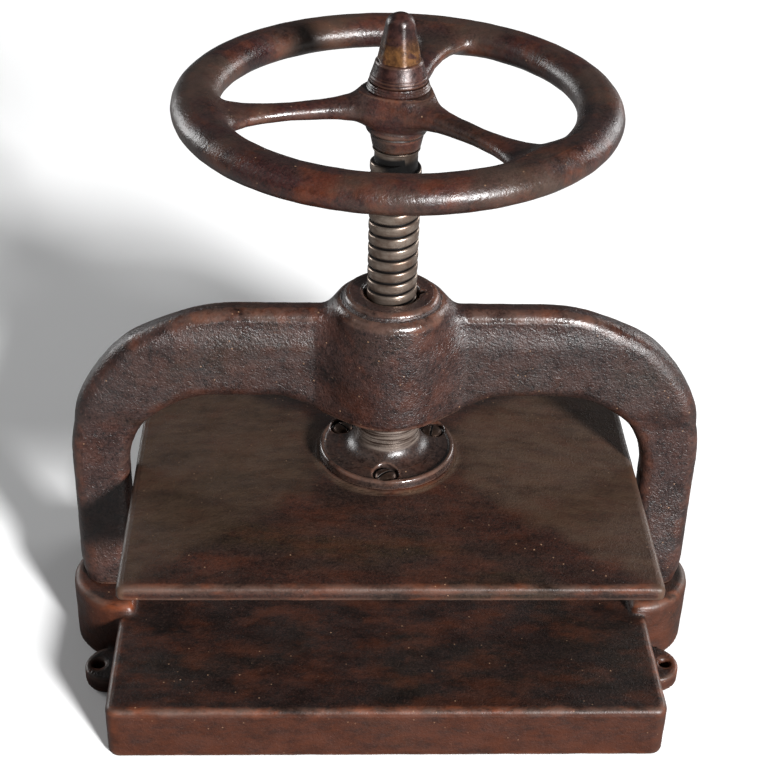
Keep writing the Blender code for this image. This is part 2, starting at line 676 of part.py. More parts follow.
def finial_blank_profile():
    """The turned blank of the finial nut: a cone that draws in to a dome."""
    return [(0.0152, FINIAL_BOTTOM), (0.0158, FINIAL_BOTTOM + 0.0008), (0.0142, 0.3844), (0.0130, 0.3879),
            (0.0120, FINIAL_FLATS_BOTTOM)]


def make_finial_nut(bronze):
    """A tall acorn nut: a cone with six tapered flats, a domed end and a blind hole for the stud."""
    dome = [(0.0083, 0.4072), (0.0069, 0.4108), (0.0044, 0.4140), (0.0015, FINIAL_TOP)]
    rings = [circle(radius, z, FINIAL_SIDES, phase=FINIAL_TWIST) for radius, z in finial_blank_profile()]
    rings.append(hexagon(FINIAL_ARRIS, FINIAL_FLATS_BOTTOM + 0.0008, FINIAL_SIDES, FINIAL_TWIST))
    rings.append(hexagon(FINIAL_ARRIS_TOP, FINIAL_FLATS_TOP, FINIAL_SIDES, FINIAL_TWIST))
    rings += [circle(radius, z, FINIAL_SIDES, phase=FINIAL_TWIST) for radius, z in dome]
    nut = place("finial_nut", mesh_from_rings(rings), bronze)
    stud_way = STUD_RADIUS + GAP
    hole = turned([(stud_way, FINIAL_BOTTOM - OVERRUN), (stud_way, STUD_TOP + STUD_HOLE_SPARE)], SMALL_ROUND)
    return combine(nut, [hole], "DIFFERENCE")


def make_platen(iron):
    """The pressing plate: flat below, a low hipped back above, and a round seat for the flange."""
    shape = bmesh.new()
    rings = []
    for width, depth, height in ((PLATEN_WIDTH, PLATEN_DEPTH, PLATEN_BOTTOM),
                                 (PLATEN_WIDTH, PLATEN_DEPTH, PLATEN_RIM_TOP),
                                 (PLATEAU_WIDTH, PLATEAU_DEPTH, PLATEN_SEAT_TOP - PLATEAU_BELOW_SEAT)):
        corners = ((1, 1), (-1, 1), (-1, -1), (1, -1))
        rings.append([shape.verts.new((sx * width / 2.0, sy * depth / 2.0, height)) for sx, sy in corners])
    for lower, upper in zip(rings, rings[1:]):
        for side in range(4):
            after = (side + 1) % 4
            shape.faces.new((lower[side], lower[after], upper[after], upper[side]))
    shape.faces.new(rings[0])
    shape.faces.new(rings[-1])
    rim_edges = [edge for edge in shape.edges if min(v.co.z for v in edge.verts) <= PLATEN_RIM_TOP
                 and max(v.co.z for v in edge.verts) <= PLATEN_RIM_TOP]
    bmesh.ops.bevel(shape, geom=rim_edges, offset=PLATEN_EDGE, segments=3, profile=0.5, affect="EDGES")
    platen = place("platen", finished_mesh(shape), iron)
    seat = turned([(PLATEN_SEAT_RADIUS, PLATEN_SEAT_TOP - SEAT_SINK),
                   (PLATEN_SEAT_RADIUS, PLATEN_SEAT_TOP - SEAT_EDGE),
                   (PLATEN_SEAT_RADIUS - SEAT_EDGE, PLATEN_SEAT_TOP)], ROUND)
    combine(platen, [seat], "UNION")
    cuts = [turned([(SOCKET_RADIUS, SOCKET_FLOOR), (SOCKET_RADIUS, PLATEN_SEAT_TOP + OVERRUN)], ROUND)]
    for x, y in flange_screw_spots():
        way = FLANGE_SCREW_SHANK + GAP
        hole = [(way, FLANGE_SCREW_TIP - SCREW_HOLE_SPARE), (way, PLATEN_SEAT_TOP + OVERRUN)]
        cuts.append(turned(hole, PIN_SIDES, centre=(x, y)))
    return combine(platen, cuts, "DIFFERENCE")


def flange_screw_spots():
    """Where the flange's screws stand, as (x, y)."""
    return [(FLANGE_SCREW_CIRCLE * math.cos(math.radians(a)), FLANGE_SCREW_CIRCLE * math.sin(math.radians(a)))
            for a in FLANGE_SCREW_ANGLES]


def make_retaining_flange(iron):
    """The ring that keeps the screw's foot in the platen: a dished flange under a tall turned collar."""
    section = [(FLANGE_BORE, FLANGE_BOTTOM), (FLANGE_RADIUS, FLANGE_BOTTOM),
               (FLANGE_RADIUS, FLANGE_RIM_TOP - 0.0018),
               (FLANGE_RADIUS - 0.0016, FLANGE_RIM_TOP), (0.0360, FLANGE_RIM_TOP - 0.0006),
               (0.0290, FLANGE_RIM_TOP + 0.0003), (0.0245, FLANGE_RIM_TOP + 0.0018),
               (0.0212, FLANGE_RIM_TOP + 0.0048), (0.0200, FLANGE_RIM_TOP + 0.0085), (0.0192, 0.1560),
               (0.0192, FLANGE_TOP - 0.0008), (0.0184, FLANGE_TOP), (FLANGE_BORE, FLANGE_TOP)]
    flange = place("retaining_flange", turned(section, ROUND, wrap=True), iron)
    cuts = []
    for spot in flange_screw_spots():
        way = FLANGE_SCREW_SHANK + GAP
        hole = [(way, FLANGE_BOTTOM - OVERRUN), (way, FLANGE_SCREW_SEAT),
                (COUNTERBORE_RADIUS, FLANGE_SCREW_SEAT), (COUNTERBORE_RADIUS, COUNTERBORE_TOP)]
        cuts.append(turned(hole, SMALL_ROUND, centre=spot))
    return combine(flange, cuts, "DIFFERENCE")


def make_flange_screws(steel):
    seat = FLANGE_SCREW_SEAT + GAP
    head = FLANGE_SCREW_HEAD
    profile = [(FLANGE_SCREW_SHANK, FLANGE_SCREW_TIP), (FLANGE_SCREW_SHANK, seat), (head, seat)]
    for step in range(1, DOME_STEPS):
        angle = math.pi / 2.0 * step / DOME_STEPS
        profile.append((head * math.cos(angle), seat + FLANGE_SCREW_DOME * math.sin(angle)))
    slot = box((-head - OVERRUN, -FLANGE_SCREW_SLOT_HALF, seat + FLANGE_SCREW_SLOT_FLOOR),
               (head + OVERRUN, FLANGE_SCREW_SLOT_HALF, seat + FLANGE_SCREW_DOME + OVERRUN))
    slot.transform(Matrix.Rotation(math.radians(FIRST_SLOT_ANGLE), 4, "Z"))
    first = place("flange_screw_1", turned(profile, SMALL_ROUND), steel)
    combine(first, [slot], "DIFFERENCE")
    screws = []
    for index, (x, y) in enumerate(flange_screw_spots()):
        screw = first if index == 0 else place("flange_screw_%d" % (index + 1), first.data, steel)
        screw.location = (x, y, 0.0)
        screw.rotation_euler = (0.0, 0.0, math.radians(index * FLANGE_SCREW_TURN))
        screws.append(screw)
    return screws


def make_thrust_button(steel):
    """The hard button in the platen's socket that the screw pushes on."""
    button = [(THRUST_RADIUS, SOCKET_FLOOR + GAP), (THRUST_RADIUS, STEM_BOTTOM - GAP)]
    return place("thrust_button", turned(button, HEX_SIDES), steel)


def make_thrust_collar(steel):
    """The collar pinned on the screw's foot, which lifts the platen, and its pin."""
    hole = STEM_RADIUS + GAP
    section = [(hole, THRUST_COLLAR_BOTTOM), (THRUST_RADIUS, THRUST_COLLAR_BOTTOM),
               (THRUST_RADIUS, THRUST_COLLAR_TOP), (hole, THRUST_COLLAR_TOP)]
    collar = place("thrust_collar", turned(section, HEX_SIDES, wrap=True), steel)
    combine(collar, [collar_pin_way()], "DIFFERENCE")
    pin_z = (THRUST_COLLAR_BOTTOM + THRUST_COLLAR_TOP) / 2.0
    pin_end = THRUST_RADIUS - COLLAR_PIN_SHY
    bar = rod(COLLAR_PIN_RADIUS, (-pin_end, 0.0, pin_z), (pin_end, 0.0, pin_z), PIN_SIDES)
    return [collar, place("collar_pin", bar, steel)]


def joint_empty(name, z):
    """An empty on a joint's axis, for the moving pieces to hang from."""
    empty = bpy.data.objects.new(name, None)
    empty.location = (0.0, 0.0, z)
    bpy.context.scene.collection.objects.link(empty)
    return empty


def hang(empty, pieces):
    """Parent pieces to an empty without moving them."""
    bpy.context.view_layer.update()
    for piece in pieces:
        piece.parent = empty
        piece.matrix_parent_inverse = empty.matrix_world.inverted()


def main():
    clear_scene()
    dark_iron = metal("dark_cast_iron", *DARK_IRON)
    wheel_iron = metal("handled_cast_iron", *WHEEL_IRON)
    worn_steel = metal("worn_steel", *WORN_STEEL)
    bronze = metal("brown_bronze", *BRONZE)
    make_base(dark_iron)
    make_arch(dark_iron)
    make_foot_bolts(worn_steel)
    make_spindle_nut(bronze)
    make_nut_lock_screw(worn_steel)
    lift = joint_empty("platen_lift_axis", PLATEN_BOTTOM)
    lifted = [make_platen(dark_iron), make_retaining_flange(dark_iron)]
    lifted += make_flange_screws(worn_steel)
    lifted.append(make_thrust_button(worn_steel))
    turn = joint_empty("wheel_turn_axis", STEM_BOTTOM)
    turned_pieces = [make_spindle(worn_steel), make_handwheel(wheel_iron), make_wheel_key(worn_steel),
                     make_hub_washer(wheel_iron), make_finial_nut(bronze)]
    turned_pieces += make_thrust_collar(worn_steel)
    hang(lift, lifted + [turn])
    hang(turn, turned_pieces)


main()
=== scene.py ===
"""Looks of the cast-iron bookbinding press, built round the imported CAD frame.

Units are metres and +Z is up, in the frame's own axes: X runs from leg to leg, -Y is the working side
and the screw axis is the Z axis. Castings are made as distance fields, which are negative inside the
iron, and skinned with quads; turned pieces are skinned from their profiles.
"""
from math import atan2, cos, pi, radians, sin, sqrt, tau

import bpy
import numpy as np
from mathutils import Matrix, Vector


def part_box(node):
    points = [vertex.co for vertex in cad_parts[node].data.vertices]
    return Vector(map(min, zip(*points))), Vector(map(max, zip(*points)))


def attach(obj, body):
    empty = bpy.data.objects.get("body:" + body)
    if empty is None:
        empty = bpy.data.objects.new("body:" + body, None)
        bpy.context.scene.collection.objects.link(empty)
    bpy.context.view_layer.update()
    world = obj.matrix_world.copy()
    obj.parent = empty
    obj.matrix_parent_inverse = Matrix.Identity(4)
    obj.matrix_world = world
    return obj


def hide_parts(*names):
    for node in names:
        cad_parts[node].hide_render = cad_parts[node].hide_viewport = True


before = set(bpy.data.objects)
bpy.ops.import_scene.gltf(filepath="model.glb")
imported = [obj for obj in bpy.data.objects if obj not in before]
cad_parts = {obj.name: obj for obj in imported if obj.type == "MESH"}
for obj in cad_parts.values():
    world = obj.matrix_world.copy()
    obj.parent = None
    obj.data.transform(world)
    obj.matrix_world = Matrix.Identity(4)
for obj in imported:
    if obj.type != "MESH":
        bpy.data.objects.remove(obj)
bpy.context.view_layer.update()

MM = 0.001

# Camera
CAMERA_SPOT = (-0.0399, -0.7945, 0.7074)
CAMERA_YAW = radians(2.673)
CAMERA_PITCH = radians(33.223)
CAMERA_ROLL = radians(1.764)
CAMERA_LENS = 75.14

# Bed casting
BED_HALF_WIDTH = 165.0 * MM
BED_HALF_DEPTH = 120.5 * MM
BED_HEIGHT = 37.5 * MM
BED_CORNER = 7.0 * MM
BED_EDGE = 4.0 * MM
BED_SKIRT = 9.0 * MM
BED_PLATE = 9.5 * MM
RIB = 7.0 * MM
PAD_CENTRE = 160.0 * MM
PAD_RADIUS = 36.5 * MM
PAD_INNER = 155.2 * MM
PAD_HEIGHT = 44.5 * MM
PAD_EDGE = 5.0 * MM
PAD_POCKET = 14.0 * MM
PAD_POCKET_TOP = 30.0 * MM
EAR_X = 170.5 * MM
EAR_Y = 50.5 * MM
EAR_RADIUS = 15.5 * MM
EAR_HEIGHT = 10.5 * MM
EAR_HOLE_X = 177.5 * MM
EAR_HOLE = 3.5 * MM

# Arch casting
LEG_INNER = 156.5 * MM
LEG_OUTER = 189.5 * MM
LEG_STRAIGHT_TOP = 128.0 * MM
FOOT_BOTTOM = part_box("arch")[0].z
FOOT_HALF = 15.0 * MM
FOOT_STEP_IN = 3.0 * MM
FLARE_LOW = 56.0 * MM
FLARE_TOP = 122.0 * MM
ARM_UNDERSIDE = 184.0 * MM
ARM_TOP = 240.0 * MM
ARM_HALF = 8.75 * MM
EDGE_SHARE = 0.74
INNER_CORNER = 55.0 * MM
OUTER_CORNER_X = 101.5 * MM
OUTER_CORNER_Z = 104.5 * MM
SWEEP_START = 68.0 * MM
SWEEP_END = 30.0 * MM
BOSS_RADIUS = 33.4 * MM
BOSS_BOTTOM = 172.8 * MM
BOSS_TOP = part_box("arch")[1].z
BOSS_STEP_RADIUS = 27.6 * MM
BOSS_STEP = 3.4 * MM
BOSS_FILLET = 26.0 * MM
BOSS_TOP_FILLET = 9.0 * MM
BOSS_FILLET_DROP = 24.0 * MM
BOSS_FLOOR_REACH = 80.0 * MM
MOUTH_RADIUS = 16.4 * MM
MOUTH_SHOULDER = 243.3 * MM
NUT_WAY = 20.3 * MM
NOTCH_X = 17.2 * MM
NOTCH_RADIUS = 1.8 * MM
NOTCH_DEPTH = 4.0 * MM
LOCK_Z = 230.0 * MM
LOCK_WAY = 3.3 * MM

# Bolts under the legs
FOOT_BOLT_X = 173.5 * MM
FOOT_BOLT_RADIUS = 4.7 * MM
FOOT_BOLT_HEAD_TOP = 27.2 * MM
FOOT_BOLT_FLATS = 16.0 * MM
BOLT_WAY = 5.2 * MM
BOLT_WAY_TOP = 71.0 * MM

# Screw
SCREW_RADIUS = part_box("spindle")[1].x
SCREW_PITCH = 25.4 * MM / 3.5
THREAD_DEPTH = 2.3 * MM
CREST_SHARE = 0.73
FLANK_SHARE = 0.045
THREAD_BOTTOM = 173.2 * MM
THREAD_TOP = 338.8 * MM
THREAD_SIDES = 72
RUN_OUT = 0.25  # of a turn, at each end of the thread
STEM_RADIUS = 9.5 * MM
NECK_RADIUS = 13.1 * MM
SEAT_RADIUS = 11.0 * MM
SEAT_TOP = 373.8 * MM
STUD_RADIUS = 7.2 * MM

# Hand-wheel
WHEEL_Z = 365.0 * MM
RIM_RADIUS = 107.8 * MM
RIM_HALF_WIDTH = 12.8 * MM
RIM_HALF_HEIGHT = 9.5 * MM
SPOKE_HEADINGS = [radians(degrees) for degrees in (192.0, 72.5, -46.5)]
# One spoke, from the hub to the rim: (distance from the axis, half width, half height)
SPOKE_SECTIONS = np.array([(6.0, 11.4, 9.2), (17.0, 11.2, 9.0), (25.0, 9.0, 7.2), (33.0, 7.4, 5.9),
                           (42.0, 6.8, 5.2), (58.0, 6.4, 4.6), (72.0, 7.8, 4.8), (83.0, 10.8, 5.2),
                           (92.0, 16.0, 6.2), (100.0, 24.0, 7.4)]) * MM
HUB_NECK_TOP = 349.6 * MM
HUB_BORE = 11.3 * MM
WASHER_RADIUS = 17.1 * MM

# Finial nut
FINIAL_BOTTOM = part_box("finial_nut")[0].z
FINIAL_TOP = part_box("finial_nut")[1].z
FLATS_BOTTOM = 390.2 * MM
FLATS_TOP = 405.5 * MM
FLATS_HALF_WIDTH = 11.0 * MM
FLATS_HALF_WIDTH_TOP = 8.3 * MM
FINIAL_TWIST = radians(-80.0)

# Platen and flange
PLATEN_HALF_WIDTH = 153.0 * MM
PLATEN_HALF_DEPTH = 117.1 * MM
PLATEN_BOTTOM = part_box("platen")[0].z
PLATEN_RIM_TOP = 127.8 * MM
PLATEAU_HALF_WIDTH = 42.0 * MM
PLATEAU_HALF_DEPTH = 32.0 * MM
PLATEAU_TOP = 137.9 * MM
SEAT_PLATE_RADIUS = 42.5 * MM
SEAT_PLATE_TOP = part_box("platen")[1].z
PLATEN_EDGE = 3.0 * MM
SOCKET_RADIUS = 15.0 * MM
SOCKET_FLOOR = 126.0 * MM
FLANGE_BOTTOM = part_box("retaining_flange")[0].z
FLANGE_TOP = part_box("retaining_flange")[1].z
FLANGE_RADIUS = 40.8 * MM
FLANGE_RIM_TOP = 144.7 * MM
FLANGE_COLLAR = 19.2 * MM
FLANGE_COVE = 10.0 * MM
FLANGE_BORE = 9.9 * MM
FLANGE_SCREW_CIRCLE = 31.5 * MM
FLANGE_SCREW_HEADINGS = [radians(degrees) for degrees in (-93.0, 27.0, 147.0)]
FLANGE_SCREW_SEAT = 141.2 * MM
FLANGE_SCREW_RADIUS = 6.62 * MM
SLOT_HEADINGS = [radians(degrees) for degrees in (35.0, 80.0, 130.0)]
COUNTERBORE = 7.7 * MM
SCREW_HOLE = 2.8 * MM

# Play between a shaft and its hole, and between the screw and its bush
CLEARANCE = 0.3 * MM
THREAD_CLEARANCE = 0.4 * MM

# Skinning: cells in a block, how much further than its corner a block looks, the step and margin of an
# outline's table, and how far a cut or an outline runs on past the iron
BLOCK = 8
BLOCK_SLACK = 1.4
TABLE_STEP = 0.4 * MM
TABLE_MARGIN = 12.0 * MM
OVERRUN = 10.0 * MM


# ---- Distance fields

def union(a, b, blend):
    """The nearer of two fields, with a fillet of about blend where they meet."""
    share = np.clip(0.5 + 0.5 * (b - a) / blend, 0.0, 1.0)
    return b + (a - b) * share - blend * share * (1.0 - share)


def common(a, b, blend):
    """What two fields share, with the edge between them rounded by about blend."""
    return -union(-a, -b, blend)


def cut(body, tool, blend):
    """The body with the tool taken away."""
    return common(body, -tool, blend)


def ease(share):
    """0 to 1 with a soft start and end."""
    share = np.clip(share, 0.0, 1.0)
    return share * share * (3.0 - 2.0 * share)


def corner_of(u, v, radius):
    """What two fields at right angles share, with an exact corner of that radius."""
    u = u + radius
    v = v + radius
    return np.minimum(np.maximum(u, v), 0.0) + np.hypot(np.maximum(u, 0.0), np.maximum(v, 0.0)) - radius


def prism(flat, along, low, high, edge):
    """A flat outline's field carried from low to high, with its ends rounded by edge."""
    return corner_of(flat, np.abs(along - (low + high) / 2.0) - (high - low) / 2.0, edge)


def disc(x, y, centre_x, centre_y, radius):
    return np.hypot(x - centre_x, y - centre_y) - radius


def rectangle(x, y, half_x, half_y, corner):
    """A rectangle about the origin, with round corners."""
    return corner_of(np.abs(x) - half_x, np.abs(y) - half_y, corner)


def hexagon(x, y, half_width, twist, blend):
    """A hexagon about the origin, half_width from its middle to a flat, with soft corners."""
    flats = np.full(x.shape, -1.0)
    for side in range(3):
        heading = twist + pi / 6.0 + side * pi / 3.0
        face = np.abs(x * cos(heading) + y * sin(heading)) - half_width
        flats = common(flats, face, blend)
    return flats


def oval(u, v, half_u, half_v):
    """Nearly the distance to an ellipse."""
    ratio = np.hypot(u / half_u, v / half_v)
    steepness = np.hypot(u / half_u ** 2, v / half_v ** 2)
    return ratio * (ratio - 1.0) / np.maximum(steepness, 1e-6)


def mirrored(points):
    """X, Y and Z of the points, folded over to the positive side of X and Y."""
    x, y, z = points.T
    return np.abs(x), np.abs(y), z


def polar(radius, angle):
    return radius * cos(angle), radius * sin(angle)


def arc(centre, radii, start, end, steps):
    """Points on an ellipse's arc between two angles in degrees."""
    angles = [radians(start + (end - start) * step / steps) for step in range(steps + 1)]
    return [(centre[0] + radii[0] * cos(a), centre[1] + radii[1] * sin(a)) for a in angles]


def outline_field(points):
    """A function that gives the distance to a closed outline, negative inside it."""
    corners = np.array(points)
    low = corners.min(0) - TABLE_MARGIN
    counts = np.ceil((corners.max(0) + TABLE_MARGIN - low) / TABLE_STEP).astype(int) + 1
    ticks = [start + TABLE_STEP * np.arange(count) for start, count in zip(low, counts)]
    u, v = np.meshgrid(*ticks, indexing="ij")
    nearest = np.full(u.shape, np.inf)
    inside = np.zeros(u.shape, bool)
    for (u0, v0), (u1, v1) in zip(corners, np.roll(corners, -1, axis=0)):
        du = u1 - u0
        dv = v1 - v0
        share = np.clip(((u - u0) * du + (v - v0) * dv) / (du * du + dv * dv), 0.0, 1.0)
        nearest = np.minimum(nearest, np.hypot(u - u0 - share * du, v - v0 - share * dv))
        if dv:
            inside ^= ((v0 > v) != (v1 > v)) & (u < u0 + (v - v0) * du / dv)
    table = np.where(inside, -nearest, nearest)

    def field(a, b):
        s = np.clip((a - low[0]) / TABLE_STEP, 0.0, counts[0] - 1.001)
        t = np.clip((b - low[1]) / TABLE_STEP, 0.0, counts[1] - 1.001)
        i = s.astype(int)
        j = t.astype(int)
        s -= i
        t -= j
        return ((table[i, j] * (1 - s) + table[i + 1, j] * s) * (1 - t) +
                (table[i, j + 1] * (1 - s) + table[i + 1, j + 1] * s) * t)

    return field


def unevenness(p, height, length, seed):
    """The waviness of a hand-moulded surface, from 0 to height, about length from crest to crest."""
    waves = 6
    golden = 2.39996  # the golden angle, so that no two waves share a heading
    total = np.zeros(len(p))
    for wave in range(waves):
        heading = seed + golden * wave
        direction = np.array([cos(heading), sin(heading), sin(1.7 * heading)])
        turns = tau / length * (1.0 + 0.31 * wave)
        total += np.sin(p @ direction * turns + 1.3 * wave + seed)
    return height * (0.5 + 0.5 * total / waves)


# ---- Skinning

def grid_points(counts):
    """Every whole-number point of a grid, as rows."""
    axes = [np.arange(count) for count in counts]
    return np.stack(np.meshgrid(*axes, indexing="ij"), -1).reshape(-1, 3)


def skin(field, low, high, cell):
    """Skin the surface where field is zero with quads: one point per grid cell that it crosses.

    Only the blocks of cells that lie near the surface are looked at closely.
    """
    low = np.array(low) - 1.5 * cell
    cells = np.ceil((np.array(high) + 1.5 * cell - low) / cell).astype(int)
    blocks = -(-cells // BLOCK)
    corners = grid_points(blocks) * BLOCK
    reach = BLOCK_SLACK * BLOCK * cell * sqrt(3.0) / 2.0
    corners = corners[np.abs(field(low + (corners + BLOCK / 2.0) * cell)) < reach]
    nodes = corners[:, None, :] + grid_points([BLOCK + 1] * 3)[None]
    values = field(low + nodes.reshape(-1, 3) * cell).reshape(-1, BLOCK + 1, BLOCK + 1, BLOCK + 1)

    def part(offset):
        x, y, z = offset
        return values[:, x:x + BLOCK, y:y + BLOCK, z:z + BLOCK]

    spans = blocks * BLOCK
    strides = np.array([spans[1] * spans[2], spans[2], 1])
    cell_index = corners[:, None, :] + grid_points([BLOCK] * 3)[None]
    cell_ids = cell_index @ strides
    total = np.zeros(cell_index.shape)
    hits = np.zeros(cell_ids.shape)
    edges = []
    for axis in range(3):
        unit = np.eye(3, dtype=int)[axis]
        others = [other for other in range(3) if other != axis]
        for corner in ((0, 0), (0, 1), (1, 0), (1, 1)):
            start = np.zeros(3, dtype=int)
            start[others] = corner
            near = part(start).reshape(hits.shape)
            far = part(start + unit).reshape(hits.shape)
            crosses = (near < 0.0) != (far < 0.0)
            share = np.where(crosses, near / np.where(crosses, near - far, 1.0), 0.0)
            total += crosses[..., None] * (start + share[..., None] * unit)
            hits += crosses
            if corner == (0, 0):
                edges.append((crosses, near < 0.0))
    active = hits > 0
    points = low + (cell_index[active] + total[active] / hits[active][:, None]) * cell
    ids = cell_ids[active]
    order = np.argsort(ids)
    ids = ids[order]
    points = points[order]
    quads = []
    for axis, (crosses, inside_first) in enumerate(edges):
        u = strides[(axis + 1) % 3]
        v = strides[(axis + 2) % 3]
        for facing, turn in ((inside_first, 1), (~inside_first, -1)):
            home = cell_ids[crosses & facing]
            ring = np.stack([home, home - u, home - u - v, home - v], 1)[:, ::turn]
            quads.append(np.searchsorted(ids, ring))
    return points, np.concatenate(quads)


def slope(field, points, step):
    """The direction in which the field grows, at each point, with its steepness."""
    columns = []
    for axis in range(3):
        offset = np.zeros(3)
        offset[axis] = step
        columns.append((field(points + offset) - field(points - offset)) / (2.0 * step))
    return np.stack(columns, 1)


def settle(field, points, cell):
    """Bring the points on to the surface itself, by two of Newton's steps held to less than a cell."""
    for _ in range(2):
        rise = slope(field, points, 0.1 * cell)
        steep = np.maximum((rise ** 2).sum(1), 0.05)
        step = np.clip(field(points) / steep, -0.6 * cell, 0.6 * cell)
        points = points - rise * step[:, None]
    return points


def rounding(field, points, step):
    """How sharply the surface bends at each point, as one over its radius; positive on edges."""
    total = -6.0 * field(points)
    for offset in np.concatenate([np.eye(3), -np.eye(3)]) * step:
        total += field(points + offset)
    return total / step ** 2


def in_scene(name, data):
    """A new object with that data, put in the scene."""
    thing = bpy.data.objects.new(name, data)
    bpy.context.scene.collection.objects.link(thing)
    return thing


def keep_values(mesh, name, values):
    """Keep a number at each of the mesh's points, for its material."""
    kept = mesh.attributes.new(name, "FLOAT", "POINT")
    kept.data.foreach_set("value", np.asarray(values, np.float32))


def casting(name, node, field, cell, reach):
    """Skin a field inside its node's box, and keep how edge-like (wear) or sheltered (hollow) each point is.

    Wear is 1 on an edge whose radius is reach or less. Hollow is 0 where the surface is flat or bulges, and
    grows to 1 as iron closes in on the spot that is reach away from it.
    """
    points, quads = skin(field, *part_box(node), cell)
    points = settle(field, points, cell)
    outward = slope(field, points, 0.3 * cell)
    outward /= np.maximum(np.linalg.norm(outward, axis=1), 1e-9)[:, None]
    wear = np.clip(rounding(field, points, 1.4 * cell) * reach, 0.0, 1.0)
    hollow = np.clip(1.0 - field(points + outward * reach) / reach, 0.0, 1.0)
    mesh = bpy.data.meshes.new(name)
    mesh.from_pydata(points.tolist(), [], quads.tolist())
    mesh.shade_smooth()
    keep_values(mesh, "wear", wear)
    keep_values(mesh, "hollow", hollow)
    return in_scene(name, mesh)


def lathe(name, profile, sides=96, closed=True):
    """Turn a profile of (radius, height) pairs about the Z axis. One that isn't closed gets flat ends."""
    points = []
    for step in range(sides):
        angle = tau * step / sides
        points += [(*polar(radius, angle), z) for radius, z in profile]
    count = len(profile)
    faces = []
    for step in range(sides):
        here = step * count
        there = (step + 1) % sides * count
        for row in range(count if closed else count - 1):
            after = (row + 1) % count
            faces.append((here + row, there + row, there + after, here + after))
    if not closed:
        faces.append([step * count for step in reversed(range(sides))])
        faces.append([step * count + count - 1 for step in range(sides)])
    mesh = bpy.data.meshes.new(name)
    mesh.from_pydata(points, [], faces)
    mesh.shade_smooth()
    mesh.set_sharp_from_angle(angle=radians(50.0))
    return in_scene(name, mesh)


# ---- Bed

def make_bed():
    """The bed: a plate with a skirt, pads for the legs, ears at the ends and six bays underneath."""
    across = BED_HALF_WIDTH - BED_SKIRT
    deep = BED_HALF_DEPTH - BED_SKIRT
    bay_half_x = (2.0 * across - 2.0 * RIB) / 6.0
    bay_half_y = (2.0 * deep - RIB) / 4.0
    bay_y = bay_half_y + RIB / 2.0
    bay_x = 2.0 * bay_half_x + RIB

    def field(p):
        x, y, z = mirrored(p)
        bed = prism(rectangle(x, y, BED_HALF_WIDTH, BED_HALF_DEPTH, BED_CORNER), z, 0.0, BED_HEIGHT, BED_EDGE)
        pad = common(disc(x, y, PAD_CENTRE, 0.0, PAD_RADIUS), PAD_INNER - x, 4.0 * MM)
        bed = union(bed, prism(pad, z, -OVERRUN, PAD_HEIGHT, PAD_EDGE), 3.0 * MM)
        ear = prism(disc(x, y, EAR_X, EAR_Y, EAR_RADIUS), z, -OVERRUN, EAR_HEIGHT, 2.0 * MM)
        bed = union(bed, ear, 3.0 * MM)
        from_bay = np.minimum(x, np.abs(x - bay_x))
        bay = rectangle(from_bay, y - bay_y, bay_half_x, bay_half_y, 5.0 * MM)
        bed = cut(bed, prism(bay, z, -OVERRUN, BED_HEIGHT - BED_PLATE, 3.0 * MM), 2.0 * MM)
        pocket = prism(disc(x, y, FOOT_BOLT_X, 0.0, PAD_POCKET), z, -OVERRUN, PAD_POCKET_TOP, 1.0 * MM)
        bed = cut(bed, pocket, 1.0 * MM)
        bed = cut(bed, disc(x, y, FOOT_BOLT_X, 0.0, BOLT_WAY), 0.5 * MM)
        bed = cut(bed, disc(x, y, EAR_HOLE_X, EAR_Y, EAR_HOLE), 1.5 * MM)
        bed = bed + unevenness(p, height=0.35 * MM, length=34.0 * MM, seed=1.0)
        return common(bed, -z, 0.8 * MM)

    return casting("bed_casting", "base", field, cell=1.8 * MM, reach=3.6 * MM)


# ---- Arch

def arch_outline():
    """One half of the arch seen from the front, running on below its foot and past the middle."""
    below = FOOT_BOTTOM - OVERRUN
    toe = LEG_OUTER - FOOT_STEP_IN
    points = [(toe, below), (toe, FOOT_BOTTOM)]
    points += [(LEG_OUTER - 0.8 * MM, FOOT_BOTTOM + 9.0 * MM), (LEG_OUTER, FOOT_BOTTOM + 18.0 * MM)]
    points += arc((LEG_OUTER - OUTER_CORNER_X, ARM_TOP - OUTER_CORNER_Z),
                  (OUTER_CORNER_X, OUTER_CORNER_Z), 0, 90, 24)
    points += [(-OVERRUN, ARM_TOP), (-OVERRUN, BOSS_BOTTOM)]
    steps = 8
    for step in reversed(range(steps + 1)):
        share = step / steps
        drop = (ARM_UNDERSIDE - BOSS_BOTTOM) * float(ease(share))
        points.append((SWEEP_START + (SWEEP_END - SWEEP_START) * share, ARM_UNDERSIDE - drop))
    points += arc((LEG_INNER - INNER_CORNER, LEG_STRAIGHT_TOP),
                  (INNER_CORNER, ARM_UNDERSIDE - LEG_STRAIGHT_TOP), 90, 0, 18)
    points += [(LEG_INNER, below)]
    return points


def boss_outline():
    """The boss from its axis outwards: two soft steps round the mouth, straight side, soft lower rim."""
    rim = 4.0 * MM
    shoulder = 6.2 * MM
    groove = 1.1 * MM
    lip = 3.2 * MM
    step_z = BOSS_TOP - BOSS_STEP
    points = [(-OVERRUN, BOSS_BOTTOM)]
    points += arc((BOSS_RADIUS - rim, BOSS_BOTTOM + rim), (rim, rim), -90, 0, 6)
    points += arc((BOSS_RADIUS - shoulder, step_z - shoulder), (shoulder, shoulder), 0, 72, 8)
    points += arc((BOSS_STEP_RADIUS + groove, step_z + 0.5 * MM), (groove, groove), 262, 180, 5)
    points += arc((BOSS_STEP_RADIUS - lip, BOSS_TOP - lip), (lip, lip), 10, 90, 8)
    points += [(-OVERRUN, BOSS_TOP)]
    return points


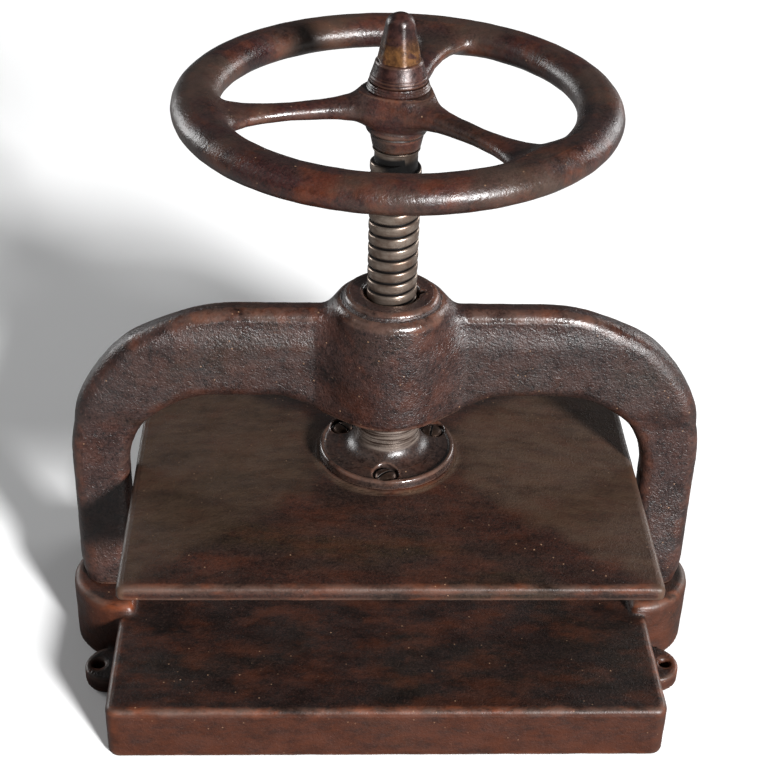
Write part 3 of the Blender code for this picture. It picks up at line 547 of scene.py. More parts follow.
def make_arch():
    """The arch: flat arms and round-edged legs that flare to their feet, blended into the boss."""
    yoke_outline = outline_field(arch_outline())
    boss = outline_field(boss_outline())

    def field(p):
        x, y, z = mirrored(p)
        radius = np.hypot(x, y)
        half = ARM_HALF + (FOOT_HALF - ARM_HALF) * ease((FLARE_TOP - z) / (FLARE_TOP - FLARE_LOW))
        yoke = prism(yoke_outline(x, z), y, -half, half, EDGE_SHARE * half)
        fillet = BOSS_TOP_FILLET + (BOSS_FILLET - BOSS_TOP_FILLET) * ease((ARM_TOP - z) / BOSS_FILLET_DROP)
        iron = union(yoke, boss(radius, z), fillet)
        floor = np.where(x < BOSS_FLOOR_REACH, BOSS_BOTTOM - z, -1.0)
        iron = common(iron, floor, 2.0 * MM)
        iron = iron + unevenness(p, height=0.30 * MM, length=26.0 * MM, seed=2.0)
        iron = common(iron, FOOT_BOTTOM - z, 0.8 * MM)
        mouth = np.where(z > MOUTH_SHOULDER, MOUTH_RADIUS, NUT_WAY)
        iron = cut(iron, radius - mouth, 0.8 * MM)
        notch = disc(p[:, 0], y, NOTCH_X, 0.0, NOTCH_RADIUS)
        notch = prism(notch, z, BOSS_TOP - NOTCH_DEPTH, BOSS_TOP + OVERRUN, 0.5 * MM)
        iron = cut(iron, notch, 0.6 * MM)
        lock = disc(x, z, 0.0, LOCK_Z, LOCK_WAY)
        lock = prism(lock, p[:, 1], NUT_WAY - 2.0 * MM, BOSS_RADIUS + OVERRUN, 0.2 * MM)
        iron = cut(iron, lock, 0.8 * MM)
        bolt = disc(x, y, FOOT_BOLT_X, 0.0, BOLT_WAY)
        bolt = prism(bolt, z, FOOT_BOTTOM - OVERRUN, BOLT_WAY_TOP, 0.5 * MM)
        return cut(iron, bolt, 0.5 * MM)

    return casting("arch_casting", "arch", field, cell=1.05 * MM, reach=4.0 * MM)


# ---- Hand-wheel

def hub_outline(low_z, high_z):
    """The hub from its axis outwards: tapered neck, groove, bead, a belly for the spokes and a soft top."""
    groove = HUB_NECK_TOP
    bead = 2.2 * MM
    belly = [(16.4, 355.5), (17.6, 359.0), (18.6, 364.0), (18.7, 369.0), (18.2, 372.4)]
    points = [(-OVERRUN, low_z), (12.9 * MM, low_z), (13.3 * MM, low_z + 0.6 * MM)]
    points += [(14.9 * MM, groove - 1.0 * MM), (14.9 * MM, groove - 0.5 * MM), (13.9 * MM, groove)]
    points += arc((14.2 * MM, groove + bead), (bead, bead), -70, 60, 8)
    points += [(radius * MM, z * MM) for radius, z in belly]
    points += [(17.5 * MM, high_z), (-OVERRUN, high_z)]
    return points


def make_wheel():
    """The hand-wheel: an oval rim, three spokes and the hub in one casting."""
    low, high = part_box("handwheel")
    hub = outline_field(hub_outline(low.z, high.z))
    reaches, halves_across, halves_up = SPOKE_SECTIONS.T

    def spoke(x, y, z, heading):
        """One spoke's field: an oval bar that flares into the hub and into the rim."""
        reach = x * cos(heading) + y * sin(heading)
        across = -x * sin(heading) + y * cos(heading)
        bar = oval(across, z, np.interp(reach, reaches, halves_across), np.interp(reach, reaches, halves_up))
        return np.maximum(bar, np.maximum(reaches[0] - reach, reach - reaches[-1]))

    def field(p):
        x, y, z = p.T
        radius = np.hypot(x, y)
        iron = oval(radius - RIM_RADIUS, z - WHEEL_Z, RIM_HALF_WIDTH, RIM_HALF_HEIGHT)
        spokes = np.minimum.reduce([spoke(x, y, z - WHEEL_Z, heading) for heading in SPOKE_HEADINGS])
        iron = union(iron, spokes, 7.0 * MM)
        hub_fillet = np.where(z > HUB_NECK_TOP, 9.0 * MM, 0.5 * MM)
        iron = union(iron, hub(radius, z), hub_fillet)
        iron = np.maximum(iron, np.maximum(low.z - z, z - high.z))
        iron = cut(iron, radius - HUB_BORE, 0.6 * MM)
        return iron + unevenness(p, height=0.30 * MM, length=30.0 * MM, seed=3.0)

    return casting("wheel_casting", "handwheel", field, cell=1.05 * MM, reach=2.2 * MM)


def make_hub_washer():
    """The washer on the hub, with two grooves turned round its side."""
    low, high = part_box("hub_washer")
    hole = STUD_RADIUS + CLEARANCE
    step = (high.z - low.z) / 6.0
    groove = 0.25 * MM
    insets = (groove, 0.0, 2.2 * groove, 1.6 * groove, 3.8 * groove, 3.0 * groove, 4.6 * groove)
    profile = [(hole, low.z)]
    profile += [(WASHER_RADIUS - inset, low.z + step * place) for place, inset in enumerate(insets)]
    profile += [(hole, high.z)]
    return lathe("hub_washer_rings", profile)


# ---- Finial

def finial_outline():
    """The turned shape of the finial: two fine rings at the foot, then a cone that ends in a dome."""
    side = [(15.3, 0.0), (15.8, 0.5), (15.7, 1.4), (15.35, 1.8), (15.5, 2.2), (15.3, 3.0), (14.85, 3.5),
            (14.9, 4.0), (14.2, 6.0), (13.1, 9.4), (12.4, 12.5), (11.0, 20.0), (9.4, 26.0)]
    dome = 406.0 * MM
    points = [(-OVERRUN, FINIAL_BOTTOM)]
    points += [(radius * MM, FINIAL_BOTTOM + height * MM) for radius, height in side]
    points += arc((0.0, dome), (9.0 * MM, FINIAL_TOP - dome), 8, 90, 12)
    points += [(-OVERRUN, FINIAL_TOP)]
    return points


def make_finial():
    """The finial: the turned shape with six flats cut on its upper part, hollow for the stud."""
    turned = outline_field(finial_outline())
    hole_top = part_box("spindle")[1].z + 1.0 * MM

    def field(p):
        x, y, z = p.T
        radius = np.hypot(x, y)
        height = np.clip((z - FLATS_BOTTOM) / (FLATS_TOP - FLATS_BOTTOM), 0.0, 1.2)
        half_width = FLATS_HALF_WIDTH + (FLATS_HALF_WIDTH_TOP - FLATS_HALF_WIDTH) * height
        flats = hexagon(x, y, half_width, FINIAL_TWIST, 1.6 * MM)
        beyond_flats = common(-flats, FLATS_BOTTOM - z, 0.6 * MM)
        nut = cut(turned(radius, z), beyond_flats, 1.6 * MM)
        nut = np.maximum(nut, FINIAL_BOTTOM - z)
        hole = prism(radius - STUD_RADIUS - CLEARANCE, z, FINIAL_BOTTOM - OVERRUN, hole_top, 0.3 * MM)
        nut = cut(nut, hole, 0.3 * MM)
        return nut + unevenness(p, height=0.12 * MM, length=9.0 * MM, seed=4.0)

    return casting("finial_acorn", "finial_nut", field, cell=0.42 * MM, reach=1.6 * MM)


# ---- Screw

def thread_section():
    """Across one pitch, groove to groove: (share of the pitch, height as a share of the thread's depth)."""
    start = (1.0 - CREST_SHARE) / 2.0
    foot = start - FLANK_SHARE
    rising = [(0.0, 0.0), (foot, 0.0), (foot + 0.5 * FLANK_SHARE, 0.42), (start, 0.76),
              (start + 0.035, 0.88), (start + 0.09, 0.95), (start + 0.19, 0.99)]
    falling = [(1.0 - share, height) for share, height in reversed(rising[1:])]
    return rising + [(0.5, 1.0)] + falling


def make_screw():
    """The screw with its right-hand thread, run out at both ends, stem below and seat and stud above."""
    section = thread_section()
    rows = len(section)
    root = SCREW_RADIUS - THREAD_DEPTH
    columns = int((THREAD_TOP - THREAD_BOTTOM - 2.0 * SCREW_PITCH) / SCREW_PITCH * THREAD_SIDES)
    points = []
    sheltered = []
    for column in range(columns + 1):
        angle = tau * column / THREAD_SIDES
        swell = float(ease((min(column, columns - column) + 0.5) / (RUN_OUT * THREAD_SIDES)))
        base_z = THREAD_BOTTOM + SCREW_PITCH * (0.5 + column / THREAD_SIDES)
        for share, height in section + [(1.0, 0.0)]:
            radius = root + THREAD_DEPTH * height * swell
            points.append((*polar(radius, angle), base_z + SCREW_PITCH * share))
            sheltered.append(1.0 - height * swell)
    stride = rows + 1

    def at(column, row):
        """A grid point's index. A turn's last row is the next turn's first, so the two share points."""
        if row == 0 and column >= THREAD_SIDES:
            return (column - THREAD_SIDES) * stride + rows
        return column * stride + row

    faces = []
    for column in range(columns):
        for row in range(rows):
            faces.append((at(column, row), at(column + 1, row), at(column + 1, row + 1), at(column, row + 1)))

    def ring(radius, z, shift):
        """Points of a level ring that line up with the thread's columns."""
        first = len(points)
        for side in range(THREAD_SIDES):
            points.append((*polar(radius, tau * (side + shift) / THREAD_SIDES), z))
            sheltered.append(0.0)
        return first

    def carry_on(first, profile, shift, upwards):
        """Rings through a turned profile, capped at the end."""
        for radius, z in profile:
            after = ring(radius, z, shift)
            for side in range(THREAD_SIDES):
                turn = (side + 1) % THREAD_SIDES
                face = (first + side, first + turn, after + turn, after + side)
                faces.append(face if upwards else face[::-1])
            first = after
        cap = [first + side for side in range(THREAD_SIDES)]
        faces.append(cap if upwards else cap[::-1])

    bottom = ring(root, THREAD_BOTTOM, 0)
    for side in range(THREAD_SIDES - 1):
        faces.append((bottom + side, bottom + side + 1, at(side + 1, 0), at(side, 0)))
    step_up = [at(0, row) for row in range(rows + 1)]
    faces.append([bottom + THREAD_SIDES - 1, bottom] + step_up + [at(THREAD_SIDES - 1, 0)])
    first_column = columns - THREAD_SIDES
    top = ring(root, THREAD_TOP, first_column)
    for side in range(1, THREAD_SIDES):
        turn = (side + 1) % THREAD_SIDES
        column = first_column + side
        faces.append((at(column, rows), at(column + 1, rows), top + turn, top + side))
    step_down = [at(columns, row) for row in reversed(range(rows + 1))]
    faces.append([top + 1, top] + step_down + [at(first_column + 1, rows)])

    low, high = [corner.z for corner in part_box("spindle")]
    hub_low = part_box("handwheel")[0].z
    soft = 0.8 * MM
    bevel = 1.0 * MM
    stem = [(root - soft, THREAD_BOTTOM - soft), (STEM_RADIUS, THREAD_BOTTOM - 1.5 * soft),
            (STEM_RADIUS, low + bevel), (STEM_RADIUS - bevel, low)]
    neck = [(root, THREAD_TOP + 0.2 * MM), (NECK_RADIUS - 0.2 * MM, THREAD_TOP + 0.7 * MM),
            (NECK_RADIUS, hub_low - 0.9 * MM), (NECK_RADIUS - 0.2 * MM, hub_low - 0.4 * MM),
            (SEAT_RADIUS, hub_low - 0.4 * MM), (SEAT_RADIUS, SEAT_TOP), (STUD_RADIUS, SEAT_TOP),
            (STUD_RADIUS, high - bevel), (STUD_RADIUS - bevel, high)]
    carry_on(bottom, stem, 0, upwards=False)
    carry_on(top, neck, first_column, upwards=True)

    used = sorted({index for face in faces for index in face})
    renumber = {index: place for place, index in enumerate(used)}
    mesh = bpy.data.meshes.new("screw")
    mesh.from_pydata([points[index] for index in used], [], [[renumber[i] for i in face] for face in faces])
    mesh.shade_smooth()
    mesh.set_sharp_from_angle(angle=radians(60.0))
    keep_values(mesh, "hollow", [sheltered[index] for index in used])
    return in_scene("screw_with_thread", mesh)


# ---- Platen and flange

def make_platen():
    """The platen: a plate whose back rises in four low hips to the flange's seat."""
    def hip(along, z, edge, plateau):
        """The slope that rises from the rim at edge to the plateau."""
        angle = atan2(PLATEAU_TOP - PLATEN_RIM_TOP, edge - plateau)
        return (z - PLATEN_RIM_TOP) * cos(angle) + (along - edge) * sin(angle)

    def field(p):
        x, y, z = mirrored(p)
        radius = np.hypot(x, y)
        plate = rectangle(x, y, PLATEN_HALF_WIDTH, PLATEN_HALF_DEPTH, 4.0 * MM)
        plate = prism(plate, z, PLATEN_BOTTOM, PLATEAU_TOP + PLATEN_EDGE, PLATEN_EDGE)
        side_hip = hip(x, z, PLATEN_HALF_WIDTH, PLATEAU_HALF_WIDTH)
        front_hip = hip(y, z, PLATEN_HALF_DEPTH, PLATEAU_HALF_DEPTH)
        back = common(side_hip, front_hip, 1.2 * MM)
        back = common(back, z - PLATEAU_TOP, 1.2 * MM)
        plate = common(plate, back, 3.4 * MM)
        seat = prism(radius - SEAT_PLATE_RADIUS, z, PLATEN_RIM_TOP, SEAT_PLATE_TOP, 1.0 * MM)
        plate = union(plate, seat, 2.0 * MM)
        plate = plate + unevenness(p, height=0.30 * MM, length=38.0 * MM, seed=5.0)
        plate = np.maximum(plate, z - SEAT_PLATE_TOP)
        socket = prism(radius - SOCKET_RADIUS, z, SOCKET_FLOOR, SEAT_PLATE_TOP + OVERRUN, 0.3 * MM)
        return cut(plate, socket, 0.5 * MM)

    return casting("platen_casting", "platen", field, cell=1.6 * MM, reach=3.6 * MM)


def flange_outline():
    """The flange from its bore outwards: a round lip, a shallow dish and a cove up to the collar."""
    lip = 1.6 * MM
    brim = 0.8 * MM
    top = FLANGE_RIM_TOP
    points = [(FLANGE_BORE, FLANGE_BOTTOM), (FLANGE_RADIUS, FLANGE_BOTTOM)]
    points += arc((FLANGE_RADIUS - lip, top - lip), (lip, lip), 0, 120, 8)
    points += [(36.8 * MM, top - 1.2 * MM), (34.0 * MM, top - 1.3 * MM), (31.6 * MM, top - 1.0 * MM)]
    points += arc((FLANGE_COLLAR + FLANGE_COVE, top - 0.4 * MM + FLANGE_COVE),
                  (FLANGE_COVE, FLANGE_COVE), 270, 182, 12)
    points += [(FLANGE_COLLAR, 158.0 * MM)]
    points += arc((FLANGE_COLLAR - brim, FLANGE_TOP - brim), (brim, brim), 0, 90, 4)
    points += [(FLANGE_BORE, FLANGE_TOP)]
    return points


def make_flange():
    """The flange that holds the screw's foot in the platen, with its three screws' counterbores."""
    outline = outline_field(flange_outline())

    def field(p):
        x, y, z = p.T
        ring = outline(np.hypot(x, y), z)
        for heading in FLANGE_SCREW_HEADINGS:
            spot = polar(FLANGE_SCREW_CIRCLE, heading)
            sink = prism(disc(x, y, *spot, COUNTERBORE), z, FLANGE_SCREW_SEAT, FLANGE_TOP, 0.6 * MM)
            ring = cut(ring, sink, 0.7 * MM)
            ring = cut(ring, disc(x, y, *spot, SCREW_HOLE), 0.3 * MM)
        return ring + unevenness(p, height=0.12 * MM, length=14.0 * MM, seed=6.0)

    return casting("flange_casting", "retaining_flange", field, cell=0.7 * MM, reach=2.4 * MM)


def make_flange_screw(node, slot_heading):
    """A dome-headed slotted screw, sunk in the flange."""
    low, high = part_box(node)
    middle = (low + high) / 2.0
    seat = FLANGE_SCREW_SEAT + CLEARANCE
    shank = SCREW_HOLE - CLEARANCE

    def field(p):
        x, y, z = p.T
        x = x - middle.x
        y = y - middle.y
        around = np.hypot(x, y)
        head = oval(around, z - seat, FLANGE_SCREW_RADIUS, high.z - seat)
        head = common(head, seat - z, 0.2 * MM)
        body = np.minimum(head, prism(around - shank, z, low.z, seat + 0.5 * MM, 0.4 * MM))
        across = -x * sin(slot_heading) + y * cos(slot_heading)
        slot = np.maximum(np.abs(across) - 0.65 * MM, high.z - 1.9 * MM - z)
        return cut(body, slot, 0.35 * MM)

    return casting("slotted_" + node, node, field, cell=0.3 * MM, reach=0.9 * MM)


# ---- Pieces inside

def soft_ring(name, node, inner):
    """A turned ring that fills its CAD node's box, with its edges broken."""
    low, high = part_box(node)
    outer = (high.x - low.x) / 2.0
    soft = 0.5 * MM
    profile = [(inner, low.z + soft), (inner + soft, low.z), (outer - soft, low.z), (outer, low.z + soft),
               (outer, high.z - soft), (outer - soft, high.z), (inner + soft, high.z), (inner, high.z - soft)]
    piece = lathe(name, profile)
    piece.data.transform(Matrix.Translation(((low.x + high.x) / 2.0, 0.0, 0.0)))
    return piece


def round_bar(name, radius, low, high, soft, sides=96):
    """A solid turned bar from low to high along its axis, with its edges broken by soft."""
    profile = [(radius - soft, low), (radius, low + soft), (radius, high - soft), (radius - soft, high)]
    return lathe(name, profile, sides, closed=False)


def make_thrust_disc():
    low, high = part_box("thrust_button")
    return round_bar("thrust_disc", high.x, low.z, high.z, 0.8 * MM)


def make_collar_pin():
    low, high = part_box("collar_pin")
    middle_z = (low.z + high.z) / 2.0
    pin = round_bar("collar_cross_pin", high.z - middle_z, low.x, high.x, 0.4 * MM, sides=48)
    lay_down = Matrix.Rotation(pi / 2.0, 4, "Y")
    pin.data.transform(Matrix.Translation((0.0, 0.0, middle_z)) @ lay_down)
    return pin


def make_key():
    """The key between the wheel's hub and its seat on the screw."""
    low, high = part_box("wheel_key")
    middle = (low + high) / 2.0
    half = (high - low) / 2.0

    def field(p):
        x, y, z = p.T
        flat = rectangle(x - middle.x, y - middle.y, half.x, half.y, 0.4 * MM)
        return prism(flat, z, low.z, high.z, 0.4 * MM)

    return casting("wheel_drive_key", "wheel_key", field, cell=0.4 * MM, reach=1.0 * MM)


def make_lock_screw():
    """The headless screw in the back of the boss, with its slot across the outer end."""
    low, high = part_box("nut_lock_screw")
    middle = (low + high) / 2.0

    def field(p):
        x, y, z = p.T
        z = z - middle.z
        body = prism(np.hypot(x, z) - high.x, y, low.y, high.y, 0.4 * MM)
        slot = np.maximum(np.abs(x + z) * sqrt(0.5) - 0.5 * MM, high.y - 1.2 * MM - y)
        return cut(body, slot, 0.2 * MM)

    return casting("slotted_lock_screw", "nut_lock_screw", field, cell=0.25 * MM, reach=0.8 * MM)


def make_foot_bolt(word):
    """A hexagon-headed bolt, head down, with the head's lower corners turned off."""
    node = "foot_bolt_" + word
    low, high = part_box(node)
    centre_x = (low.x + high.x) / 2.0

    def field(p):
        x, y, z = p.T
        x = x - centre_x
        around = np.hypot(x, y)
        head = hexagon(x, y, FOOT_BOLT_FLATS / 2.0, 0.0, 0.3 * MM)
        head = prism(head, z, low.z, FOOT_BOLT_HEAD_TOP, 0.3 * MM)
        cone = around - 10.2 * MM + 1.6 * np.maximum(low.z + 1.2 * MM - z, 0.0)
        shank = prism(around - FOOT_BOLT_RADIUS, z, low.z + 3.0 * MM, high.z, 1.0 * MM)
        return np.minimum(common(head, cone, 0.3 * MM), shank)

    return casting("leg_bolt_" + word, node, field, cell=0.5 * MM, reach=1.2 * MM)


# ---- Materials

def tone(red, green, blue):
    """A screen colour, 0 to 255, as the linear colour that the shaders use."""
    levels = [value / 255.0 for value in (red, green, blue)]
    linear = [v / 12.92 if v <= 0.04045 else ((v + 0.055) / 1.055) ** 2.4 for v in levels]
    return (*linear, 1.0)


def plain_grey(level):
    """A linear grey."""
    return (level, level, level, 1.0)


RUST = tone(104, 52, 28)
RUBBED = tone(94, 72, 62)
# A near-black for grime specks and for painted shade in hollows
GRIME_AND_PAINTED_SHADE = tone(9, 6, 5)
TURNED = (0.06, 0.06, 1.0)
ALL_WAYS = (1.0, 1.0, 1.0)
WAXED_IOR = 1.52
DRY_IOR = 1.38


class Recipe:
    """A material under construction, with short ways to add the nodes that the looks are made of."""

    def __init__(self, name):
        self.material = bpy.data.materials.new(name)
        self.material.use_nodes = True
        self.tree = self.material.node_tree
        self.shader = self.tree.nodes["Principled BSDF"]
        self.spot = self.node("ShaderNodeTexCoord").outputs["Object"]

    def feed(self, node, inputs):
        """Link each of a node's inputs to another node's output, or set it to a plain value."""
        for socket, value in inputs.items():
            if isinstance(value, bpy.types.NodeSocket):
                self.tree.links.new(value, node.inputs[socket])
            else:
                node.inputs[socket].default_value = value

    def node(self, kind, inputs=None, **settings):
        made = self.tree.nodes.new(kind)
        for key, value in settings.items():
            setattr(made, key, value)
        self.feed(made, inputs or {})
        return made

    def attribute(self, name):
        """A number kept at each of the mesh's points."""
        return self.node("ShaderNodeAttribute", attribute_name=name).outputs["Fac"]

    def stretched(self, scale):
        """Object coordinates scaled along each axis, for streaks."""
        return self.node("ShaderNodeMapping", {"Vector": self.spot, "Scale": scale}).outputs["Vector"]

    def noise(self, size, detail=4.0, roughness=0.55, spot=None, distortion=0.0):
        """Cloudy noise whose blotches are about size across."""
        inputs = {"Vector": spot or self.spot, "Scale": 1.0 / size, "Detail": detail,
                  "Roughness": roughness, "Distortion": distortion}
        return self.node("ShaderNodeTexNoise", inputs).outputs["Fac"]

    def cells(self, size):
        """Distance to the nearest of many scattered points, about size apart, in units of size."""
        inputs = {"Vector": self.spot, "Scale": 1.0 / size}
        return self.node("ShaderNodeTexVoronoi", inputs).outputs["Distance"]

    def ramp(self, value, *stops):
        """A colour ramp through (position, colour) stops."""
        ramp = self.node("ShaderNodeValToRGB", {"Fac": value})
        points = ramp.color_ramp.elements
        while len(points) < len(stops):
            points.new(0.5)
        for point, (position, colour) in zip(points, stops):
            point.position = position
            point.color = colour
        return ramp.outputs["Color"]

    def between(self, value, low, high, to_low=0.0, to_high=1.0):
        """The value carried from low..high to to_low..to_high, softly, and held there."""
        inputs = {"Value": value, "From Min": low, "From Max": high, "To Min": to_low, "To Max": to_high}
        return self.node("ShaderNodeMapRange", inputs, interpolation_type="SMOOTHSTEP").outputs["Result"]

    def reckon(self, operation, a, b, clamp=False):
        sums = self.node("ShaderNodeMath", {0: a, 1: b}, operation=operation, use_clamp=clamp)
        return sums.outputs["Value"]

    def times(self, a, b, clamp=False):
        return self.reckon("MULTIPLY", a, b, clamp)

    def plus(self, a, b, clamp=False):
        return self.reckon("ADD", a, b, clamp)

    def mix(self, share, a, b):
        """Two colours mixed. Sockets 6 and 7 are the Mix node's colour inputs, output 2 its colour."""
        return self.node("ShaderNodeMix", {0: share, 6: a, 7: b}, data_type="RGBA").outputs[2]

    def over(self, colour, other, value, low, high, most=1.0):
        """The colour with another over it: none where the value is at low, and most of it at high."""
        return self.mix(self.between(value, low, high, 0.0, most), colour, other)

    def leaning(self, axis, low, high):
        """Where the surface faces along an axis, either way: 0 at low to 1 at high."""
        normal = self.node("ShaderNodeTexCoord").outputs["Normal"]
        facing = self.node("ShaderNodeSeparateXYZ", {"Vector": normal}).outputs[axis]
        return self.between(self.reckon("ABSOLUTE", facing, 0.0), low, high)

    def height(self):
        """Height over the floor, on the press at rest."""
        return self.node("ShaderNodeSeparateXYZ", {"Vector": self.spot}).outputs["Z"]

    def bump(self, height, distance, below=None):
        """A relief of that height, over another one if below is given."""
        inputs = {"Height": height, "Distance": distance}
        if below is not None:
            inputs["Normal"] = below
        return self.node("ShaderNodeBump", inputs).outputs["Normal"]

    def finish(self, colour, roughness, normal, metallic=0.0, ior=1.5):
        self.feed(self.shader, {"Base Color": colour, "Roughness": roughness, "Normal": normal,
                                "Metallic": metallic, "IOR": ior})
        return self.material


class Iron(Recipe):
    """Old waxed cast iron: drifting browns, grain, grime and painted shade in hollows, rust in patches,
    polish on edges.

    tones are the dark, red, grey and olive browns as screen colours, rust is how much of it shows, from 0
    to 1, and gloss is the lowest and highest roughness. streaks below 1 stretch the pattern along that axis.
    """

    def __init__(self, name, tones, rust, grain, grain_height, gloss, streaks=ALL_WAYS):
        super().__init__(name)
        dark, red, grey, olive = [tone(*colour) for colour in tones]
        wear = self.attribute("wear")
        along = self.stretched(streaks)
        self.mottle = self.noise(0.013, 8.0, 0.68, along)
        fleck = self.noise(0.0024, 6.0, 0.72, self.stretched([0.5 + 0.5 * share for share in streaks]))
        grit = self.noise(0.0013, 3.0, 0.6)
        drift = self.noise(0.070, 5.0, 0.6, along, 0.6)
        colour = self.ramp(drift, (0.34, dark), (0.46, red), (0.56, grey), (0.66, olive))
        for other, value, low, high, most in ((red, self.mottle, 0.44, 0.72, 0.6),
                                              (dark, self.mottle, 0.52, 0.30, 0.7),
                                              (grey, fleck, 0.50, 0.62, 0.8),
                                              (dark, fleck, 0.50, 0.38, 0.9),
                                              (RUBBED, grit, 0.52, 0.66, 0.10),
                                              (GRIME_AND_PAINTED_SHADE, grit, 0.48, 0.36, 0.45)):
            colour = self.over(colour, other, value, low, high, most)
        patchy = self.between(self.noise(0.020, 8.0, 0.68, along), 0.44, 0.66)
        bare = self.plus(self.times(wear, 1.3), 0.35)
        colour = self.mix(self.times(self.times(patchy, bare), rust, clamp=True), colour, RUST)
        rubbed = self.times(self.between(wear, 0.2, 1.0), self.between(self.mottle, 0.3, 0.6))
        colour = self.mix(self.times(rubbed, 0.5), colour, RUBBED)
        specks = self.between(self.cells(0.0066), 0.090, 0.060)
        specks = self.times(specks, self.between(self.noise(0.03), 0.42, 0.56))
        colour = self.mix(self.times(specks, 0.6), colour, tone(150, 118, 92))
        # Painted shade: sheltered hollows are darkened towards near-black, grime together with painted shade
        dirt_and_painted_shade = self.plus(self.attribute("hollow"), self.times(self.mottle, 0.25))
        dirt_and_painted_shade = self.between(dirt_and_painted_shade, 0.24, 0.85, 0.0, 0.8)
        self.colour = self.mix(dirt_and_painted_shade, colour, GRIME_AND_PAINTED_SHADE)
        roughness = self.between(self.mottle, 0.32, 0.68, *gloss)
        roughness = self.plus(roughness, self.times(dirt_and_painted_shade, 0.3), clamp=True)
        polish = self.times(self.between(wear, 0.2, 0.8), 0.12)
        self.roughness = self.reckon("SUBTRACT", roughness, polish, clamp=True)
        relief = self.bump(self.noise(0.010, 3.0, 0.5), 0.16 * MM)
        rough = self.between(wear, 0.15, 0.7, 1.0, 0.35)
        relief = self.bump(self.times(self.noise(grain, 4.0, 0.62), rough), grain_height, relief)
        worms = self.noise(2.6 * grain, 2.0, 0.5, distortion=1.8)
        self.relief = self.bump(self.times(worms, rough), 1.2 * grain_height, relief)

    def tint(self, share, colour):
        """Blend another colour in by share, from 0 to 1."""
        self.colour = self.mix(share, self.colour, colour)

    def done(self, metallic=0.0, ior=WAXED_IOR):
        return self.finish(self.colour, self.roughness, self.relief, metallic, ior)


def bed_iron(tones):
    """The bed: browner with rust down its sides than on its waxed top; the lighter upright sides are rust
    together with painted light.
    """
    iron = Iron("bed_iron", tones, 0.6, 1.3 * MM, 0.24 * MM, (0.46, 0.64), (0.55, 1.0, 1.0))
    cloud = iron.noise(0.008, 8.0, 0.76, iron.stretched((0.45, 1.0, 1.0)))
    # Painted light: upright faces are made lighter and more orange than the top, rust together with painted
    # light
    upright_rust_and_light = iron.times(iron.leaning("Z", 0.75, 0.35), iron.between(cloud, 0.34, 0.66, 0.2, 0.85))
    iron.tint(upright_rust_and_light, tone(62, 28, 12))
    return iron.done(ior=DRY_IOR)


def platen_iron(tones):
    """The platen: brushed along its length, and greyer and lighter on the two hips that lean to the sides,
    dust together with a painted sheen.
    """
    iron = Iron("platen_iron", tones, 0.45, 1.3 * MM, 0.22 * MM, (0.44, 0.62), (0.45, 1.0, 1.0))
    haze = iron.noise(0.010, 8.0, 0.76, iron.stretched((0.5, 1.0, 1.0)))
    # Painted sheen: the side hips are made greyer and lighter, dust together with a painted reflection of the
    # surroundings
    side_hips_dust_and_sheen = iron.times(iron.leaning("X", 0.0, 0.09), iron.between(haze, 0.34, 0.66, 0.3, 0.85))
    iron.tint(side_hips_dust_and_sheen, tone(66, 50, 38))
    return iron.done(ior=DRY_IOR)


def flange_iron(tones):
    """The flange: cast iron below, bright turned metal with tool marks up the collar."""
    iron = Iron("flange_iron", tones, 0.2, 1.0 * MM, 0.10 * MM, (0.24, 0.38))
    rings = iron.noise(0.0013, 3.0, 0.65, iron.stretched((0.05, 0.05, 1.0)))
    turned = iron.between(iron.height(), FLANGE_RIM_TOP + 5.0 * MM, FLANGE_RIM_TOP + 9.0 * MM)
    turned = iron.times(turned, iron.between(iron.mottle, 0.30, 0.62, 1.0, 0.45))
    iron.tint(turned, iron.mix(iron.between(rings, 0.40, 0.62), tone(150, 136, 126), tone(70, 56, 49)))
    iron.relief = iron.bump(iron.times(rings, turned), 0.16 * MM, iron.relief)
    return iron.done(metallic=iron.times(turned, 0.8))


def wheel_iron(tones):
    """The wheel: reddish brown, smooth from hands, with dry dust where they seldom rub."""
    iron = Iron("wheel_iron", tones, 0.5, 1.4 * MM, 0.19 * MM, (0.26, 0.42))
    iron.tint(iron.between(iron.noise(0.085, 6.0, 0.68), 0.46, 0.62, 0.0, 0.55), tone(66, 52, 43))
    return iron.done()


def worn_steel(name, tones, gloss, marks=TURNED):
    """Worn metal with tool marks, darkened where it is sheltered: greasy dirt together with painted shade.
    tones are light, dark, and the near-black of the sheltered spots.
    """
    look = Recipe(name)
    light, dark, grease_and_shade = [tone(*colour) for colour in tones]
    cloud = look.noise(0.012, 6.0, 0.6)
    lines = look.noise(0.0011, 3.0, 0.6, look.stretched(marks))
    # Painted shade: sheltered spots such as the thread's grooves are darkened, greasy dirt together with
    # painted shade
    grease_and_painted_shade = look.between(look.attribute("hollow"), 0.10, 0.55)
    colour = look.mix(look.between(cloud, 0.35, 0.65), light, dark)
    colour = look.over(colour, dark, lines, 0.42, 0.70, 0.5)
    colour = look.over(colour, tone(96, 62, 42), look.noise(0.005, 5.0, 0.7), 0.52, 0.72, 0.45)
    colour = look.mix(grease_and_painted_shade, colour, grease_and_shade)
    roughness = look.between(cloud, 0.3, 0.7, *gloss)
    roughness = look.plus(roughness, look.times(grease_and_painted_shade, 0.15), clamp=True)
    relief = look.bump(lines, 0.05 * MM)
    relief = look.bump(look.noise(0.0016, 3.0, 0.6), 0.05 * MM, relief)
    return look.finish(colour, roughness, relief, look.between(grease_and_painted_shade, 0.0, 1.0, 0.85, 0.2))


